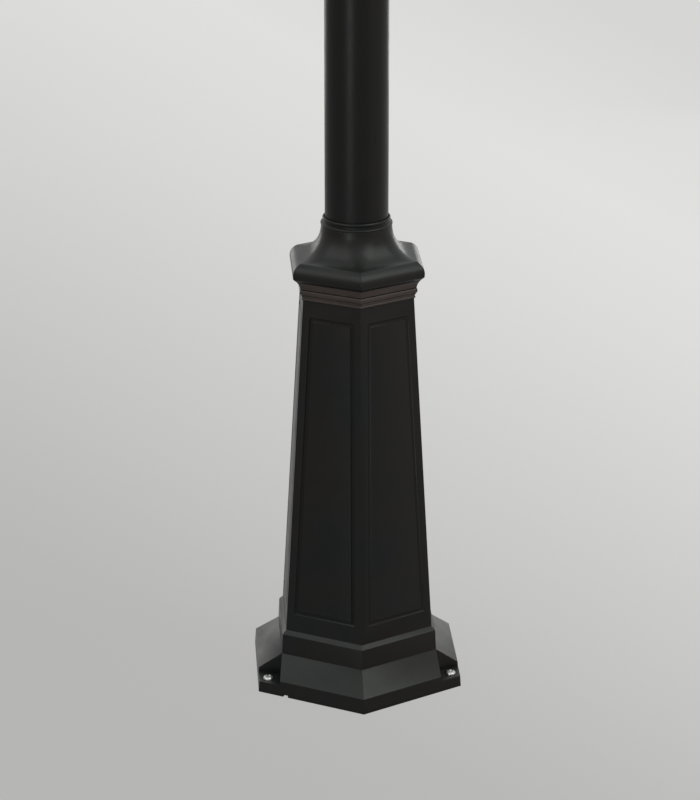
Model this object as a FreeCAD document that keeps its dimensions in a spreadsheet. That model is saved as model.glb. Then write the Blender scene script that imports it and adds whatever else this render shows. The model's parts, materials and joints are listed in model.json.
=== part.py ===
import FreeCAD, Part
import os
import re
import Sketcher

# Triple head lamp post: a hexagonal panelled pedestal with a bell-shaped cap, a round
# pole in two lengths, and three hexagonal lanterns on bracketed arms.
# The post's axis is Z and the ground is Z = 0. A corner of the pedestal faces -Y,
# so flats face +X and -X. Lengths are in millimetres, angles in degrees.

NODE_FOLDER = "parts"
Vector = FreeCAD.Vector

SIZES = {
    # pedestal casting, from the ground up; a radius here is to the hexagon's corner
    "hexagonSides": 6,
    "footRadius": 145.2,
    "skirtRadius": 143.7,
    "skirtHeight": 19.3,
    "bandFootRadius": 110.7,
    "flareHeight": 23.8,
    "bandHeadRadius": 109.3,
    "bandHeight": 25.4,
    "shaftFootRadius": 104.2,
    "chamferHeight": 4.9,
    "shaftHeadRadius": 76.6,
    "shaftHeight": 423.8,
    "lipRadius": 77.3,
    "beadFootRadius": 79.3,
    "lipHeight": 4.6,
    "lipCurve": 0.65,
    "beadHeadRadius": 80.3,
    "beadHeight": 7.8,
    "corniceRadius": 85.2,
    "corniceHeight": 10.2,
    "corniceCurve": 0.66,
    "castingWall": 6,
    "diaphragmThickness": 8,
    # fixing to the ground, three corner pads
    "headCount": 3,
    "padHeight": 13.8,
    "padReach": 28.5,
    "padBackWall": 8,
    "padSideWall": 7,
    "anchorCircleRadius": 131,
    "anchorHoleRadius": 4.5,
    "notchWidth": 6.8,
    "notchHeight": 2.6,
    "notchOffset": 35.3,
    # sunk frame on each face of the shaft
    "panelMargin": 9.5,
    "panelFootGap": 22.3,
    "panelHeadGap": 20.7,
    "grooveWidth": 5,
    "grooveDepth": 1.6,
    "grooveDraft": 35,
    # cap casting
    "rimUndercut": 4.3,
    "rimFootRadius": 90.1,
    "rimBelly": 4.2,
    "rimBellyRadius": 90.8,
    "rimHeight": 22.5,
    "rimHeadRadius": 79.9,
    "rimCornerCut": 1.5,
    "bellHeight": 40.7,
    "rimCurve": 0.74,
    "rimRise": 0.2,
    "bellCurve": 0.7071,
    "bellNeckApothem": 41.8,
    "neckBeadRadius": 43.4,
    "neckBeadHeight": 2.8,
    "neckRingRadius": 41.6,
    "neckRingHeight": 3.8,
    "collarClearance": 0.3,
    "capRoomApothem": 62,
    "capRoomHeight": 14,
    "capThroatApothem": 44,
    # pole
    "poleDiameter": 76.2,
    "poleWall": 3,
    "poleSpigot": 20,
    "lowerPoleLength": 750,
    "upperPoleDiameter": 60.3,
    "upperPoleWall": 2.9,
    "upperPoleLap": 130,
    "upperPoleLength": 652,
    "pressClearance": 0.05,
    "diaphragmClearance": 0.5,
    "flangeRadius": 59.5,
    "flangeThickness": 8,
    # collar over the joint between the two lengths of pole
    "collarHeight": 58,
    "collarBead": 6,
    "collarSkirtApothem": 42,
    "collarApothem": 46,
    "collarNeckApothem": 34,
    "collarCurve": 0.66,
    "sleeveLength": 60,
    # arm hub and arms
    "hubApothem": 46,
    "hubHeight": 90,
    "hubRise": 32,
    "armRise": 16,
    "armWidth": 26,
    "armWall": 2.6,
    "armReach": 230,
    "armRootGap": 1.8,
    "braceCollarApothem": 41,
    "braceCollarHeight": 32,
    "braceDrop": 150,
    "braceWidth": 18,
    "braceThickness": 6,
    "braceTail": 14,
    "braceRuns": 9,
    # hexagonal seat under each lantern
    "seatApothem": 20,
    "seatHeight": 40,
    "seatPendant": 22,
    "seatStep": 3,
    "seatTipApothem": 5,
    # finials
    "finialStud": 9,
    "finialCoreApothem": 5,
    "finialSeatApothem": 28,
    "finialSeatHeight": 8,
    "finialBellyApothem": 37,
    "finialBellyFoot": 14,
    "finialBellyHead": 20,
    "finialWaistApothem": 21,
    "finialWaistHeight": 44,
    "finialNeckApothem": 11,
    "finialNeckHeight": 62,
    "finialBeadApothem": 18,
    "finialBeadFoot": 76,
    "finialBeadHead": 83,
    "finialSpikeApothem": 8,
    "finialSpikeFoot": 100,
    "finialHeight": 150,
    "lidFinialScale": 0.56,
    "finialPointRadius": 1.2,
    # lantern; an apothem is the distance from the axis to a flat
    "trayBossApothem": 22,
    "trayBossHeight": 17,
    "trayFloor": 30,
    "trayFlareHeight": 22,
    "trayFlareApothem": 62,
    "trayFlareCurve": 0.3,
    "trayRimApothem": 66,
    "trayHeight": 50,
    "trayWall": 4,
    "cageFootApothem": 62,
    "cageHeadApothem": 84,
    "cageHeight": 182,
    "cageWall": 5,
    "cagePost": 8,
    "cageRail": 9,
    "paneThickness": 3,
    "paneLap": 4,
    "paneClearance": 0.05,
    "ringHeight": 10,
    "ringChamfer": 2.5,
    "ringApothem": 89,
    "ringInnerApothem": 76,
    "lidGap": 0.3,
    "lidRimLow": 0.4,
    "lidRimHigh": 0.75,
    "lidShoulder": 5,
    "lidCurve": 0.36,
    "lidCoveRuns": 4,
    "lidRimApothem": 96,
    "lidRimHeight": 12,
    "lidRoofHeight": 80,
    "lidNeckApothem": 20,
    "lidNeckHeight": 6,
    "lidWall": 3.5,
    # hinge and closing screw of each lantern's lid
    "knuckleRadius": 4.5,
    "knuckleClearance": 5.2,
    "knuckleLength": 14,
    "knuckleGap": 0.4,
    "hingePinDiameter": 4,
    "hingeRunningClearance": 0.06,
    "lugThickness": 3.5,
    "lugLift": 0.7,
    "tabWidth": 15,
    "tabThickness": 6,
    "tabClearance": 2.5,
    "screwDiameter": 5,
    "screwHeadDiameter": 13,
    "screwHeadHeight": 8,
    # lamp and its holder
    "nippleDiameter": 16,
    "nippleDepth": 10,
    "holderApothem": 17,
    "holderHeight": 40,
    "lampCapRadius": 13,
    "lampCapDepth": 26,
    "lampFitClearance": 0.3,
    "lampRadius": 16,
    "lampLength": 86,
    # junction box on the pedestal's inner wall
    "boxWidth": 70,
    "boxHeight": 90,
    "boxDepth": 34,
    "boxWall": 2.5,
    "boxLevel": 300,
    "boxBack": 62,
    "boxBossWidth": 12,
    "boxBossLength": 14,
    "boxBossSpacing": 50,
    "boxLidThickness": 3,
    "glandHexWidth": 24,
    "glandLength": 22,
}

document = FreeCAD.newDocument("LampPost")
sheet = document.addObject("Spreadsheet::Sheet", "Sizes")
for row, (alias, number) in enumerate(SIZES.items(), 1):
    sheet.set(f"A{row}", alias)
    sheet.set(f"B{row}", str(number))
    sheet.setAlias(f"B{row}", alias)
document.recompute()
ALIAS = re.compile(r"\b(" + "|".join(sorted(SIZES, key=len, reverse=True)) + r")\b")

# ---- levels of the post, each the one below plus its own height ----
FACE = "cos(180/hexagonSides)"
SKIRT_HEAD = "skirtHeight"
FLARE_HEAD = f"({SKIRT_HEAD}+flareHeight)"
BAND_HEAD = f"({FLARE_HEAD}+bandHeight)"
SHAFT_FOOT = f"({BAND_HEAD}+chamferHeight)"
SHAFT_HEAD = f"({SHAFT_FOOT}+shaftHeight)"
BEAD_FOOT = f"({SHAFT_HEAD}+lipHeight)"
BEAD_HEAD = f"({BEAD_FOOT}+beadHeight)"
CASTING_HEAD = f"({BEAD_HEAD}+corniceHeight)"
RIM_HEAD = f"({CASTING_HEAD}+rimHeight)"
BELL_HEAD = f"({RIM_HEAD}+bellHeight)"
POLE_FOOT = f"({CASTING_HEAD}-poleSpigot)"
POLE_JOINT = f"({POLE_FOOT}+lowerPoleLength)"
UPPER_FOOT = f"({POLE_JOINT}-upperPoleLap)"
UPPER_HEAD = f"({UPPER_FOOT}+upperPoleLength)"
ARM_LEVEL = f"({UPPER_HEAD}+armRise)"
HUB_HEAD = f"({ARM_LEVEL}+hubRise)"
SEAT_HEAD = f"({ARM_LEVEL}+seatHeight/2)"
# levels of a lantern, from its own seat
CAGE_FOOT = "trayHeight"
CAGE_HEAD = f"({CAGE_FOOT}+cageHeight)"
RING_HEAD = f"({CAGE_HEAD}+ringHeight)"
LID_FOOT = f"({RING_HEAD}+lidGap)"
ROOF_FOOT = f"({LID_FOOT}+lidRimHeight)"
ROOF_HEAD = f"({ROOF_FOOT}+lidRoofHeight)"
LID_HEAD = f"({ROOF_HEAD}+lidNeckHeight)"
HINGE_REACH = "(lidRimApothem+knuckleClearance)"
TAB_FACE = "(0-ringApothem-tabClearance)"
SCREW_LEVEL = f"({RING_HEAD}-ringHeight*2/5)"

HEAD_ANGLES = [-30 + 360 / SIZES["headCount"] * i for i in range(SIZES["headCount"])]


def bound(text):
    return ALIAS.sub(r"Sizes.\1", str(text))


def value(text):
    result = sheet.evalExpression(bound(text))
    return float(getattr(result, "Value", result))


def bind(item, prop, text):
    item.setExpression(prop, bound(text))


# ---- sketches ----
def origin(body, role):
    return next(item for item in body.Origin.OriginFeatures if item.Role == role)


def new_sketch(body, name, role, shift=("0", "0", "0"), tilt=None):
    """A sketch on one of the body's own planes, moved by shift along its own axes."""
    sketch = body.newObject("Sketcher::SketchObject", name)
    sketch.AttachmentSupport = [(origin(body, role), "")]
    sketch.MapMode = "FlatFace"
    if tilt:
        axis, angle = tilt
        turn = FreeCAD.Rotation(Vector(*axis), 1)
        sketch.AttachmentOffset = FreeCAD.Placement(Vector(), turn)
        bind(sketch, "AttachmentOffset.Rotation.Angle", angle)
    for letter, text in zip("xyz", shift):
        bind(sketch, f"AttachmentOffset.Base.{letter}", text)
    return sketch


def tie(sketch, edge, vertex, across, up):
    for kind, text in (("DistanceX", across), ("DistanceY", up)):
        number = sketch.addConstraint(
            Sketcher.Constraint(kind, -1, 1, edge, vertex, value(text)))
        bind(sketch, f"Constraints[{number}]", text)


def outline(sketch, corners):
    """A closed outline. A corner is (across, up); with two more values, the next edge
    is an arc through that point."""
    first = sketch.GeometryCount
    count = len(corners)
    points = [Vector(value(corner[0]), value(corner[1]), 0) for corner in corners]
    for i, corner in enumerate(corners):
        start, end = points[i], points[(i + 1) % count]
        if len(corner) == 4:
            via = Vector(value(corner[2]), value(corner[3]), 0)
            sketch.addGeometry(Part.Arc(start, via, end))
        else:
            sketch.addGeometry(Part.LineSegment(start, end))
    ends = []
    for i in range(count):
        forward = (sketch.getPoint(first + i, 1) - points[i]).Length < 1e-6
        ends.append((1, 2) if forward else (2, 1))
    for i in range(count):
        after = (i + 1) % count
        sketch.addConstraint(Sketcher.Constraint(
            "Coincident", first + i, ends[i][1], first + after, ends[after][0]))
    for i, corner in enumerate(corners):
        tie(sketch, first + i, ends[i][0], corner[0], corner[1])
        if len(corner) == 4:
            middle = Part.Point(Vector(value(corner[2]), value(corner[3]), 0))
            via = sketch.addGeometry(middle, True)
            tie(sketch, via, 1, corner[2], corner[3])
            sketch.addConstraint(Sketcher.Constraint("PointOnObject", via, 1, first + i))


def circle(sketch, across, up, radius):
    centre = Vector(value(across), value(up), 0)
    ring = sketch.addGeometry(Part.Circle(centre, Vector(0, 0, 1), value(radius)))
    tie(sketch, ring, 3, across, up)
    number = sketch.addConstraint(Sketcher.Constraint("Radius", ring, value(radius)))
    bind(sketch, f"Constraints[{number}]", radius)


def hexagon(sketch, radius, across="0", up="0", start=30, sides=6):
    """A regular hexagon, or polygon, with its first corner at the start angle."""
    turns = [start + 360 / sides * i for i in range(sides)]
    outline(sketch, [(f"({across}+({radius})*cos({turn}))",
                      f"({up}+({radius})*sin({turn}))") for turn in turns])


def cove(start, via, end, runs):
    """Corners from start towards end of a cove through via, laid out in straight runs."""
    corners = []
    for step in range(runs):
        along = step / runs
        shares = ((1 - along) * (1 - 2 * along), 4 * along * (1 - along), along * (2 * along - 1))
        corners.append(tuple(
            "+".join(f"({share})*({point[axis]})" for share, point in zip(shares, (start, via, end)))
            for axis in range(2)))
    return corners


def rectangle(sketch, low_across, low_up, high_across, high_up):
    outline(sketch, [(low_across, low_up), (high_across, low_up),
                     (high_across, high_up), (low_across, high_up)])


# ---- features ----
def new_body(label):
    body = document.addObject("PartDesign::Body", label)
    body.Label = label
    body.AllowCompound = True
    return body


def pad(body, sketch, length, reversed_=False, midplane=False):
    feature = body.newObject("PartDesign::Pad", "pad")
    feature.Profile = sketch
    feature.Reversed = reversed_
    feature.Midplane = midplane
    bind(feature, "Length", length)
    document.recompute()
    return feature


def pocket(body, sketch, length, reversed_=False, midplane=False):
    """Cuts the sketch out of the body and makes sure that it cut something."""
    before = body.Shape.Volume
    feature = body.newObject("PartDesign::Pocket", "pocket")
    feature.Profile = sketch
    feature.Reversed = reversed_
    feature.Midplane = midplane
    bind(feature, "Length", length)
    document.recompute()
    if body.Shape.Volume >= before:
        raise RuntimeError(f"{body.Label}: {sketch.Label} cuts nothing")
    return feature


def around(body, features, count):
    """Repeats features round the Z axis."""
    pattern = body.newObject("PartDesign::PolarPattern", "around")
    pattern.Originals = features
    pattern.Axis = (origin(body, "Z_Axis"), [""])
    bind(pattern, "Occurrences", count)
    body.Tip = pattern
    document.recompute()
    return pattern


def turned(body, corners, cut=False):
    """Revolves a half outline of (radius, height) corners about the Z axis."""
    sketch = new_sketch(body, "turned_profile", "XZ_Plane")
    outline(sketch, corners)
    document.recompute()
    before = body.Shape.Volume if cut else 0
    kind = "PartDesign::Groove" if cut else "PartDesign::Revolution"
    feature = body.newObject(kind, "turned")
    feature.Profile = sketch
    feature.ReferenceAxis = (sketch, ["V_Axis"])
    feature.Angle = 360
    document.recompute()
    if cut and body.Shape.Volume >= before:
        raise RuntimeError(f"{body.Label}: the turned cut removes nothing")
    return feature


def swept(body, path, profile, cut=False):
    """Sweeps a profile along a closed path with mitred corners."""
    document.recompute()
    before = body.Shape.Volume if cut else 0
    kind = "PartDesign::SubtractivePipe" if cut else "PartDesign::AdditivePipe"
    feature = body.newObject(kind, "swept")
    feature.Profile = profile
    feature.Spine = (path, [])
    feature.Transition = "Right corner"
    document.recompute()
    if cut and body.Shape.Volume >= before:
        raise RuntimeError(f"{body.Label}: {profile.Label} cuts nothing")
    return feature


def moulded(body, corners, path_radius, turn=0, cut=False):
    """Sweeps an outline of (apothem, height) corners round a hexagon, with mitred
    corners, or cuts that sweep away. It starts in the middle of the flat that faces +X,
    or of one turned from there about Z."""
    path = new_sketch(body, "moulding_path", "XY_Plane")
    run = [(f"({path_radius})*{FACE}*cos({turn})", f"({path_radius})*{FACE}*sin({turn})")]
    run += [(f"({path_radius})*cos({turn + 30 + 60 * i})",
             f"({path_radius})*sin({turn + 30 + 60 * i})") for i in range(6)]
    outline(path, run)
    tilt = ((0, 1, 0), str(turn)) if turn else None
    profile = new_sketch(body, "moulding_profile", "XZ_Plane", tilt=tilt)
    outline(profile, corners)
    return swept(body, path, profile, cut)


def face_sketch(body, name, foot_apothem, foot, head_apothem, head):
    """A sketch on the leaning flat that faces +X: up runs along the slope from foot."""
    lean = f"atan((({foot_apothem})-({head_apothem}))/(({head})-({foot})))"
    sketch = new_sketch(body, name, "YZ_Plane", ("0", foot, foot_apothem),
                        ((1, 0, 0), f"-1*{lean}"))
    return sketch, f"cos({lean})", lean


def face_trapezium(foot_apothem, foot, head_apothem, head, slope, low, high, margin):
    """Corners of a panel on a leaning flat, its sides a margin from the corners."""
    def half(level):
        lean = f"(({head_apothem})-({foot_apothem}))/(({head})-({foot}))"
        apothem = f"(({foot_apothem})+{lean}*(({level})-({foot})))"
        return f"({apothem}*tan(180/hexagonSides)-({margin}))"
    low_up = f"((({low})-({foot}))/{slope})"
    high_up = f"((({high})-({foot}))/{slope})"
    return [(f"(0-{half(low)})", low_up), (half(low), low_up),
            (half(high), high_up), (f"(0-{half(high)})", high_up)]


def place(body, angle, reach="0", level="0"):
    """Turns a finished sub-part to its arm's direction and moves it out and up."""
    body.Placement = FreeCAD.Placement(Vector(), FreeCAD.Rotation(Vector(0, 0, 1), angle))
    bind(body, "Placement.Base.x", f"({reach})*cos({angle})")
    bind(body, "Placement.Base.y", f"({reach})*sin({angle})")
    bind(body, "Placement.Base.z", level)


# ---- pedestal ----
def pad_kite(sketch, back, rim, reach, stretch):
    """A kite in a headed corner, from a point back on the corner's line to the rim. Its
    sides meet the rim a reach away from the rim's corner and run on by stretch."""
    back_across, back_up = f"({back}*cos(30))", f"(0-{back}*sin(30))"

    def run_on(across, up):
        return (f"({back_across}+{stretch}*(({across})-{back_across}))",
                f"({back_up}+{stretch}*(({up})-{back_up}))")
    outline(sketch, [
        run_on(f"{rim}*cos(30)", f"0-{rim}*sin(30)"),
        run_on(f"{rim}*cos(30)", f"{reach}-{rim}*sin(30)"),
        (back_across, back_up),
        run_on(f"({rim}-{reach})*cos(30)", f"0-({rim}+{reach})*sin(30)"),
    ])


def panel_groove(body):
    """The groove of the sunk frame on the flat that faces +X: a shallow trough with
    sloped sides, run round the panel's edge with mitred corners."""
    levels = (f"shaftFootRadius*{FACE}", SHAFT_FOOT, f"shaftHeadRadius*{FACE}", SHAFT_HEAD)
    path, slope, lean = face_sketch(body, "groove_path", *levels)
    corners = face_trapezium(*levels, slope, f"({SHAFT_FOOT}+panelFootGap)",
                             f"({SHAFT_HEAD}-panelHeadGap)", "panelMargin")
    edge = corners[0][1]
    outline(path, [("0", edge), *corners[1:], corners[0]])
    trough = new_sketch(body, "groove_section", "XZ_Plane", (levels[0], levels[1], "0"),
                        ((0, 0, 1), lean))
    batter = "(grooveDepth*tan(grooveDraft))"
    outline(trough, [
        ("grooveDepth", f"({edge}-{batter})"),
        ("grooveDepth", f"({edge}+grooveWidth+{batter})"),
        ("0-grooveDepth", f"({edge}+grooveWidth-{batter})"),
        ("0-grooveDepth", f"({edge}+{batter})"),
    ])
    return swept(body, path, trough, cut=True)


def pedestal_casting():
    body = new_body("pedestal_casting")
    wall = "castingWall"
    flare_run = f"((skirtRadius-bandFootRadius)*{FACE})"
    flare = f"(flareHeight/{flare_run})"
    # how far the wall's inner corners lie below its outer ones along the flare
    inner_drop = f"({wall}*(sqrt(1+{flare}^2)-{flare}))"
    # blocks under the anchor pads, their heads cut to lie inside the flare's wall
    block = new_sketch(body, "pad_block", "XY_Plane")
    pad_kite(block, "(bandFootRadius-padBackWall)", f"(skirtRadius-{wall}/2)",
             "(padReach+padSideWall)", "1")
    blocks = pad(body, block, f"({FLARE_HEAD}-{wall}/3)")
    around(body, [blocks], "headCount")
    moulded(body, [
        (f"skirtRadius*{FACE}", f"({SKIRT_HEAD}-{wall}/3)"),
        (f"bandFootRadius*{FACE}", f"({FLARE_HEAD}-{wall}/3)"),
        (f"bandFootRadius*{FACE}", f"({FLARE_HEAD}+{wall})"),
        (f"skirtRadius*{FACE}", f"({FLARE_HEAD}+{wall})"),
    ], "footRadius", cut=True)
    moulded(body, [
        (f"footRadius*{FACE}", "0"),
        (f"skirtRadius*{FACE}", SKIRT_HEAD),
        (f"bandFootRadius*{FACE}", FLARE_HEAD),
        (f"bandHeadRadius*{FACE}", BAND_HEAD),
        (f"shaftFootRadius*{FACE}", SHAFT_FOOT),
        (f"shaftHeadRadius*{FACE}", SHAFT_HEAD),
        (f"lipRadius*{FACE}", SHAFT_HEAD,
         f"((lipRadius*(1-lipCurve)+beadFootRadius*lipCurve)*{FACE})",
         f"({SHAFT_HEAD}+lipHeight*(1-lipCurve))"),
        (f"beadFootRadius*{FACE}", BEAD_FOOT),
        (f"beadHeadRadius*{FACE}", f"({BEAD_FOOT}+lipHeight/4)"),
        (f"beadHeadRadius*{FACE}", BEAD_HEAD,
         f"((beadHeadRadius*corniceCurve+corniceRadius*(1-corniceCurve))*{FACE})",
         f"({BEAD_HEAD}+corniceHeight*corniceCurve)"),
        (f"corniceRadius*{FACE}", CASTING_HEAD),
        (f"poleDiameter/2-poleWall-{wall}", CASTING_HEAD),
        (f"poleDiameter/2-poleWall-{wall}", f"({CASTING_HEAD}-diaphragmThickness)"),
        (f"shaftHeadRadius*{FACE}-{wall}", f"({CASTING_HEAD}-diaphragmThickness)"),
        (f"shaftFootRadius*{FACE}-{wall}", BAND_HEAD),
        (f"bandFootRadius*{FACE}-{wall}", f"({FLARE_HEAD}-{inner_drop})"),
        (f"skirtRadius*{FACE}-{wall}", f"({SKIRT_HEAD}-{inner_drop})"),
        (f"footRadius*{FACE}-{wall}", "0"),
    ], "footRadius")
    # the pad: a kite cut down through the flare, from the corner back to the band
    kite = new_sketch(body, "pad_recess", "XY_Plane", ("0", "0", "padHeight"))
    pad_kite(kite, "bandFootRadius", "skirtRadius", "padReach", "1.2")
    recess = pocket(body, kite, "flareHeight+skirtHeight", reversed_=True)
    holes = new_sketch(body, "anchor_holes", "XY_Plane")
    circle(holes, "anchorCircleRadius*cos(30)", "0-anchorCircleRadius*sin(30)", "anchorHoleRadius")
    hole = pocket(body, holes, "2*padHeight", reversed_=True)
    around(body, [recess, hole], "headCount")
    # hole for the pole's spigot
    spigot = new_sketch(body, "spigot_hole", "XY_Plane", ("0", "0", CASTING_HEAD))
    circle(spigot, "0", "0", "poleDiameter/2+diaphragmClearance")
    pocket(body, spigot, "2*diaphragmThickness")
    # drain notch under the flat to the left of the front corner
    notch = new_sketch(body, "drain_notch", "XY_Plane", ("0", "0", "0"), ((0, 0, 1), "-120"))
    rectangle(notch, f"footRadius*{FACE}-3*castingWall", "0-notchOffset-notchWidth/2",
              f"footRadius*{FACE}+castingWall", "0-notchOffset+notchWidth/2")
    pocket(body, notch, "notchHeight", reversed_=True)
    # two square bosses that carry the junction box
    for side in ("-1", "1"):
        lug = new_sketch(body, "box_boss", "YZ_Plane", ("0", "0", "0-boxBack"))
        middle = f"{side}*boxBossSpacing/2"
        rectangle(lug, f"{middle}-boxBossWidth/2", "boxLevel-boxBossWidth/2",
                  f"{middle}+boxBossWidth/2", "boxLevel+boxBossWidth/2")
        pad(body, lug, "boxBossLength", reversed_=True)
    around(body, [panel_groove(body)], "hexagonSides")
    return body


def pedestal_cap():
    body = new_body("pedestal_cap")
    seat = f"(corniceRadius*{FACE})"
    head = f"(rimHeadRadius*{FACE})"
    bore = "(poleDiameter/2+collarClearance)"
    side_run = f"({head}-bellNeckApothem)"
    room_head = f"({CASTING_HEAD}+capRoomHeight)"
    throat_foot = f"({room_head}+capRoomHeight)"
    moulded(body, [
        ("capRoomApothem", CASTING_HEAD),
        (seat, CASTING_HEAD),
        (f"rimFootRadius*{FACE}", f"({CASTING_HEAD}+rimUndercut)"),
        (f"rimBellyRadius*{FACE}", f"({CASTING_HEAD}+rimUndercut+rimBelly)",
         f"(rimBellyRadius*{FACE}*rimCurve+{head}*(1-rimCurve))", f"({RIM_HEAD}-rimHeight*rimRise)"),
        (head, RIM_HEAD,
         f"({head}-{side_run}*bellCurve)", f"({RIM_HEAD}+bellHeight*(1-bellCurve))"),
        ("bellNeckApothem", BELL_HEAD),
        (f"({bore}*{FACE})", BELL_HEAD),
        (f"({bore}*{FACE})", throat_foot),
        ("capThroatApothem", throat_foot),
        ("capRoomApothem", room_head),
    ], "rimFootRadius")
    # the bell's corners, sharp at the rim, open out into six more coves
    corner_run = "(rimHeadRadius-rimCornerCut-bellNeckApothem)"
    moulded(body, [
        ("rimHeadRadius-rimCornerCut", RIM_HEAD,
         f"(rimHeadRadius-rimCornerCut-{corner_run}*bellCurve)",
         f"({RIM_HEAD}+bellHeight*(1-bellCurve))"),
        ("bellNeckApothem", BELL_HEAD),
        ("3*bellNeckApothem", BELL_HEAD),
        ("3*bellNeckApothem", RIM_HEAD),
    ], "rimHeadRadius", turn=30, cut=True)
    # bead and ring at the neck
    bead_head = f"({BELL_HEAD}+neckBeadHeight)"
    ring_head = f"({bead_head}+neckRingHeight)"
    for radius, foot, thickness in (
            ("neckBeadRadius", f"({BELL_HEAD}-neckBeadHeight/2)", "1.5*neckBeadHeight"),
            ("neckRingRadius", bead_head, "neckRingHeight")):
        ring = new_sketch(body, "neck_ring", "XY_Plane", ("0", "0", foot))
        circle(ring, "0", "0", radius)
        pad(body, ring, thickness)
    # the bore that rides on the pole
    hole = new_sketch(body, "pole_bore", "XY_Plane", ("0", "0", f"({ring_head}+1)"))
    circle(hole, "0", "0", bore)
    pocket(body, hole, f"(1+{ring_head}-{CASTING_HEAD})")
    return body


# ---- pole ----
def tube(label, diameter, wall, foot, head):
    body = new_body(label)
    outer = f"({diameter}/2)"
    turned(body, [(f"({outer}-{wall})", foot), (outer, foot), (outer, head),
                  (f"({outer}-{wall})", head)])
    return body


def lower_pole():
    """The lower length of pole with the hexagonal flange welded round it, which stands
    on the pedestal's diaphragm."""
    body = tube("lower_pole", "poleDiameter", "poleWall", POLE_FOOT, POLE_JOINT)
    plate = new_sketch(body, "flange_outline", "XY_Plane", ("0", "0", CASTING_HEAD))
    hexagon(plate, "flangeRadius")
    circle(plate, "0", "0", "poleDiameter/2-poleWall/2")
    pad(body, plate, "flangeThickness")
    return body


def upper_pole():
    return tube("upper_pole", "upperPoleDiameter", "upperPoleWall", UPPER_FOOT, UPPER_HEAD)


def pole_collar():
    """Hexagonal moulding that stands on the lower pole's end, with a sleeve that fills
    the room between the two tubes."""
    body = new_body("pole_collar")
    head = f"({POLE_JOINT}+collarHeight)"
    bead = "collarBead"
    moulded(body, [
        ("upperPoleDiameter/3", POLE_JOINT),
        ("collarSkirtApothem", POLE_JOINT),
        ("collarApothem", f"({POLE_JOINT}+{bead}/2)"),
        ("collarApothem", f"({POLE_JOINT}+1.5*{bead})"),
        ("collarSkirtApothem", f"({POLE_JOINT}+2*{bead})"),
        ("(collarSkirtApothem*(1-collarCurve)+collarNeckApothem*collarCurve)",
         f"({POLE_JOINT}+2*{bead}+(collarHeight-4*{bead})*(1-collarCurve))"),
        ("collarNeckApothem", f"({head}-2*{bead})"),
        (f"(collarNeckApothem+{bead}/2)", f"({head}-1.5*{bead})"),
        (f"(collarNeckApothem+{bead}/2)", f"({head}-{bead}/2)"),
        ("collarNeckApothem", head),
        ("upperPoleDiameter/3", head),
    ], f"collarApothem/{FACE}")
    sleeve = new_sketch(body, "sleeve", "XY_Plane", ("0", "0", f"({POLE_JOINT}+1)"))
    circle(sleeve, "0", "0", "poleDiameter/2-poleWall-pressClearance")
    pad(body, sleeve, "sleeveLength+1", reversed_=True)
    bore = new_sketch(body, "upper_bore", "XY_Plane", ("0", "0", head))
    circle(bore, "0", "0", "upperPoleDiameter/2+pressClearance")
    pocket(body, bore, "collarHeight+sleeveLength")
    return body


# ---- junction box ----
def junction_box():
    body = new_body("junction_box")
    back = "(0-boxBack)"
    case = new_sketch(body, "case", "YZ_Plane", ("0", "0", back))
    rectangle(case, "0-boxWidth/2", "boxLevel-boxHeight/2", "boxWidth/2", "boxLevel+boxHeight/2")
    pad(body, case, "boxDepth")
    room = new_sketch(body, "room", "YZ_Plane", ("0", "0", f"({back}+boxDepth)"))
    rectangle(room, "boxWall-boxWidth/2", "boxLevel-boxHeight/2+boxWall",
              "boxWidth/2-boxWall", "boxLevel+boxHeight/2-boxWall")
    pocket(body, room, "boxDepth-boxWall")
    return body


def junction_box_lid():
    body = new_body("junction_box_lid")
    plate = new_sketch(body, "plate", "YZ_Plane", ("0", "0", "boxDepth-boxBack"))
    rectangle(plate, "0-boxWidth/2", "boxLevel-boxHeight/2", "boxWidth/2", "boxLevel+boxHeight/2")
    pad(body, plate, "boxLidThickness")
    return body


def terminal_block():
    """Three-way screw terminal on the box's floor plate."""
    body = new_body("terminal_block")
    base = new_sketch(body, "block", "YZ_Plane", ("0", "0", "boxWall-boxBack"))
    rectangle(base, "0-boxWidth/4", "boxLevel-boxWall", "boxWidth/4", "boxLevel+boxHeight/5")
    pad(body, base, "boxDepth/2")
    cells = new_sketch(body, "terminal_slots", "YZ_Plane", ("0", "0", "boxWall-boxBack+boxDepth/2"))
    for place_ in ("0-boxWidth/12", "boxWidth/12"):
        rectangle(cells, f"{place_}-1", "boxLevel-2*boxWall", f"{place_}+1", "boxLevel+boxHeight/4")
    pocket(body, cells, "boxDepth/3")
    return body


def cable_gland():
    body = new_body("cable_gland")
    seat = "(boxLevel-boxHeight/2)"
    across = "(0-boxBack+boxDepth/2)"
    nut = new_sketch(body, "gland_body", "XY_Plane", ("0", "0", seat))
    hexagon(nut, f"glandHexWidth/2/{FACE}", across)
    pad(body, nut, "glandLength", reversed_=True)
    return body


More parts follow.
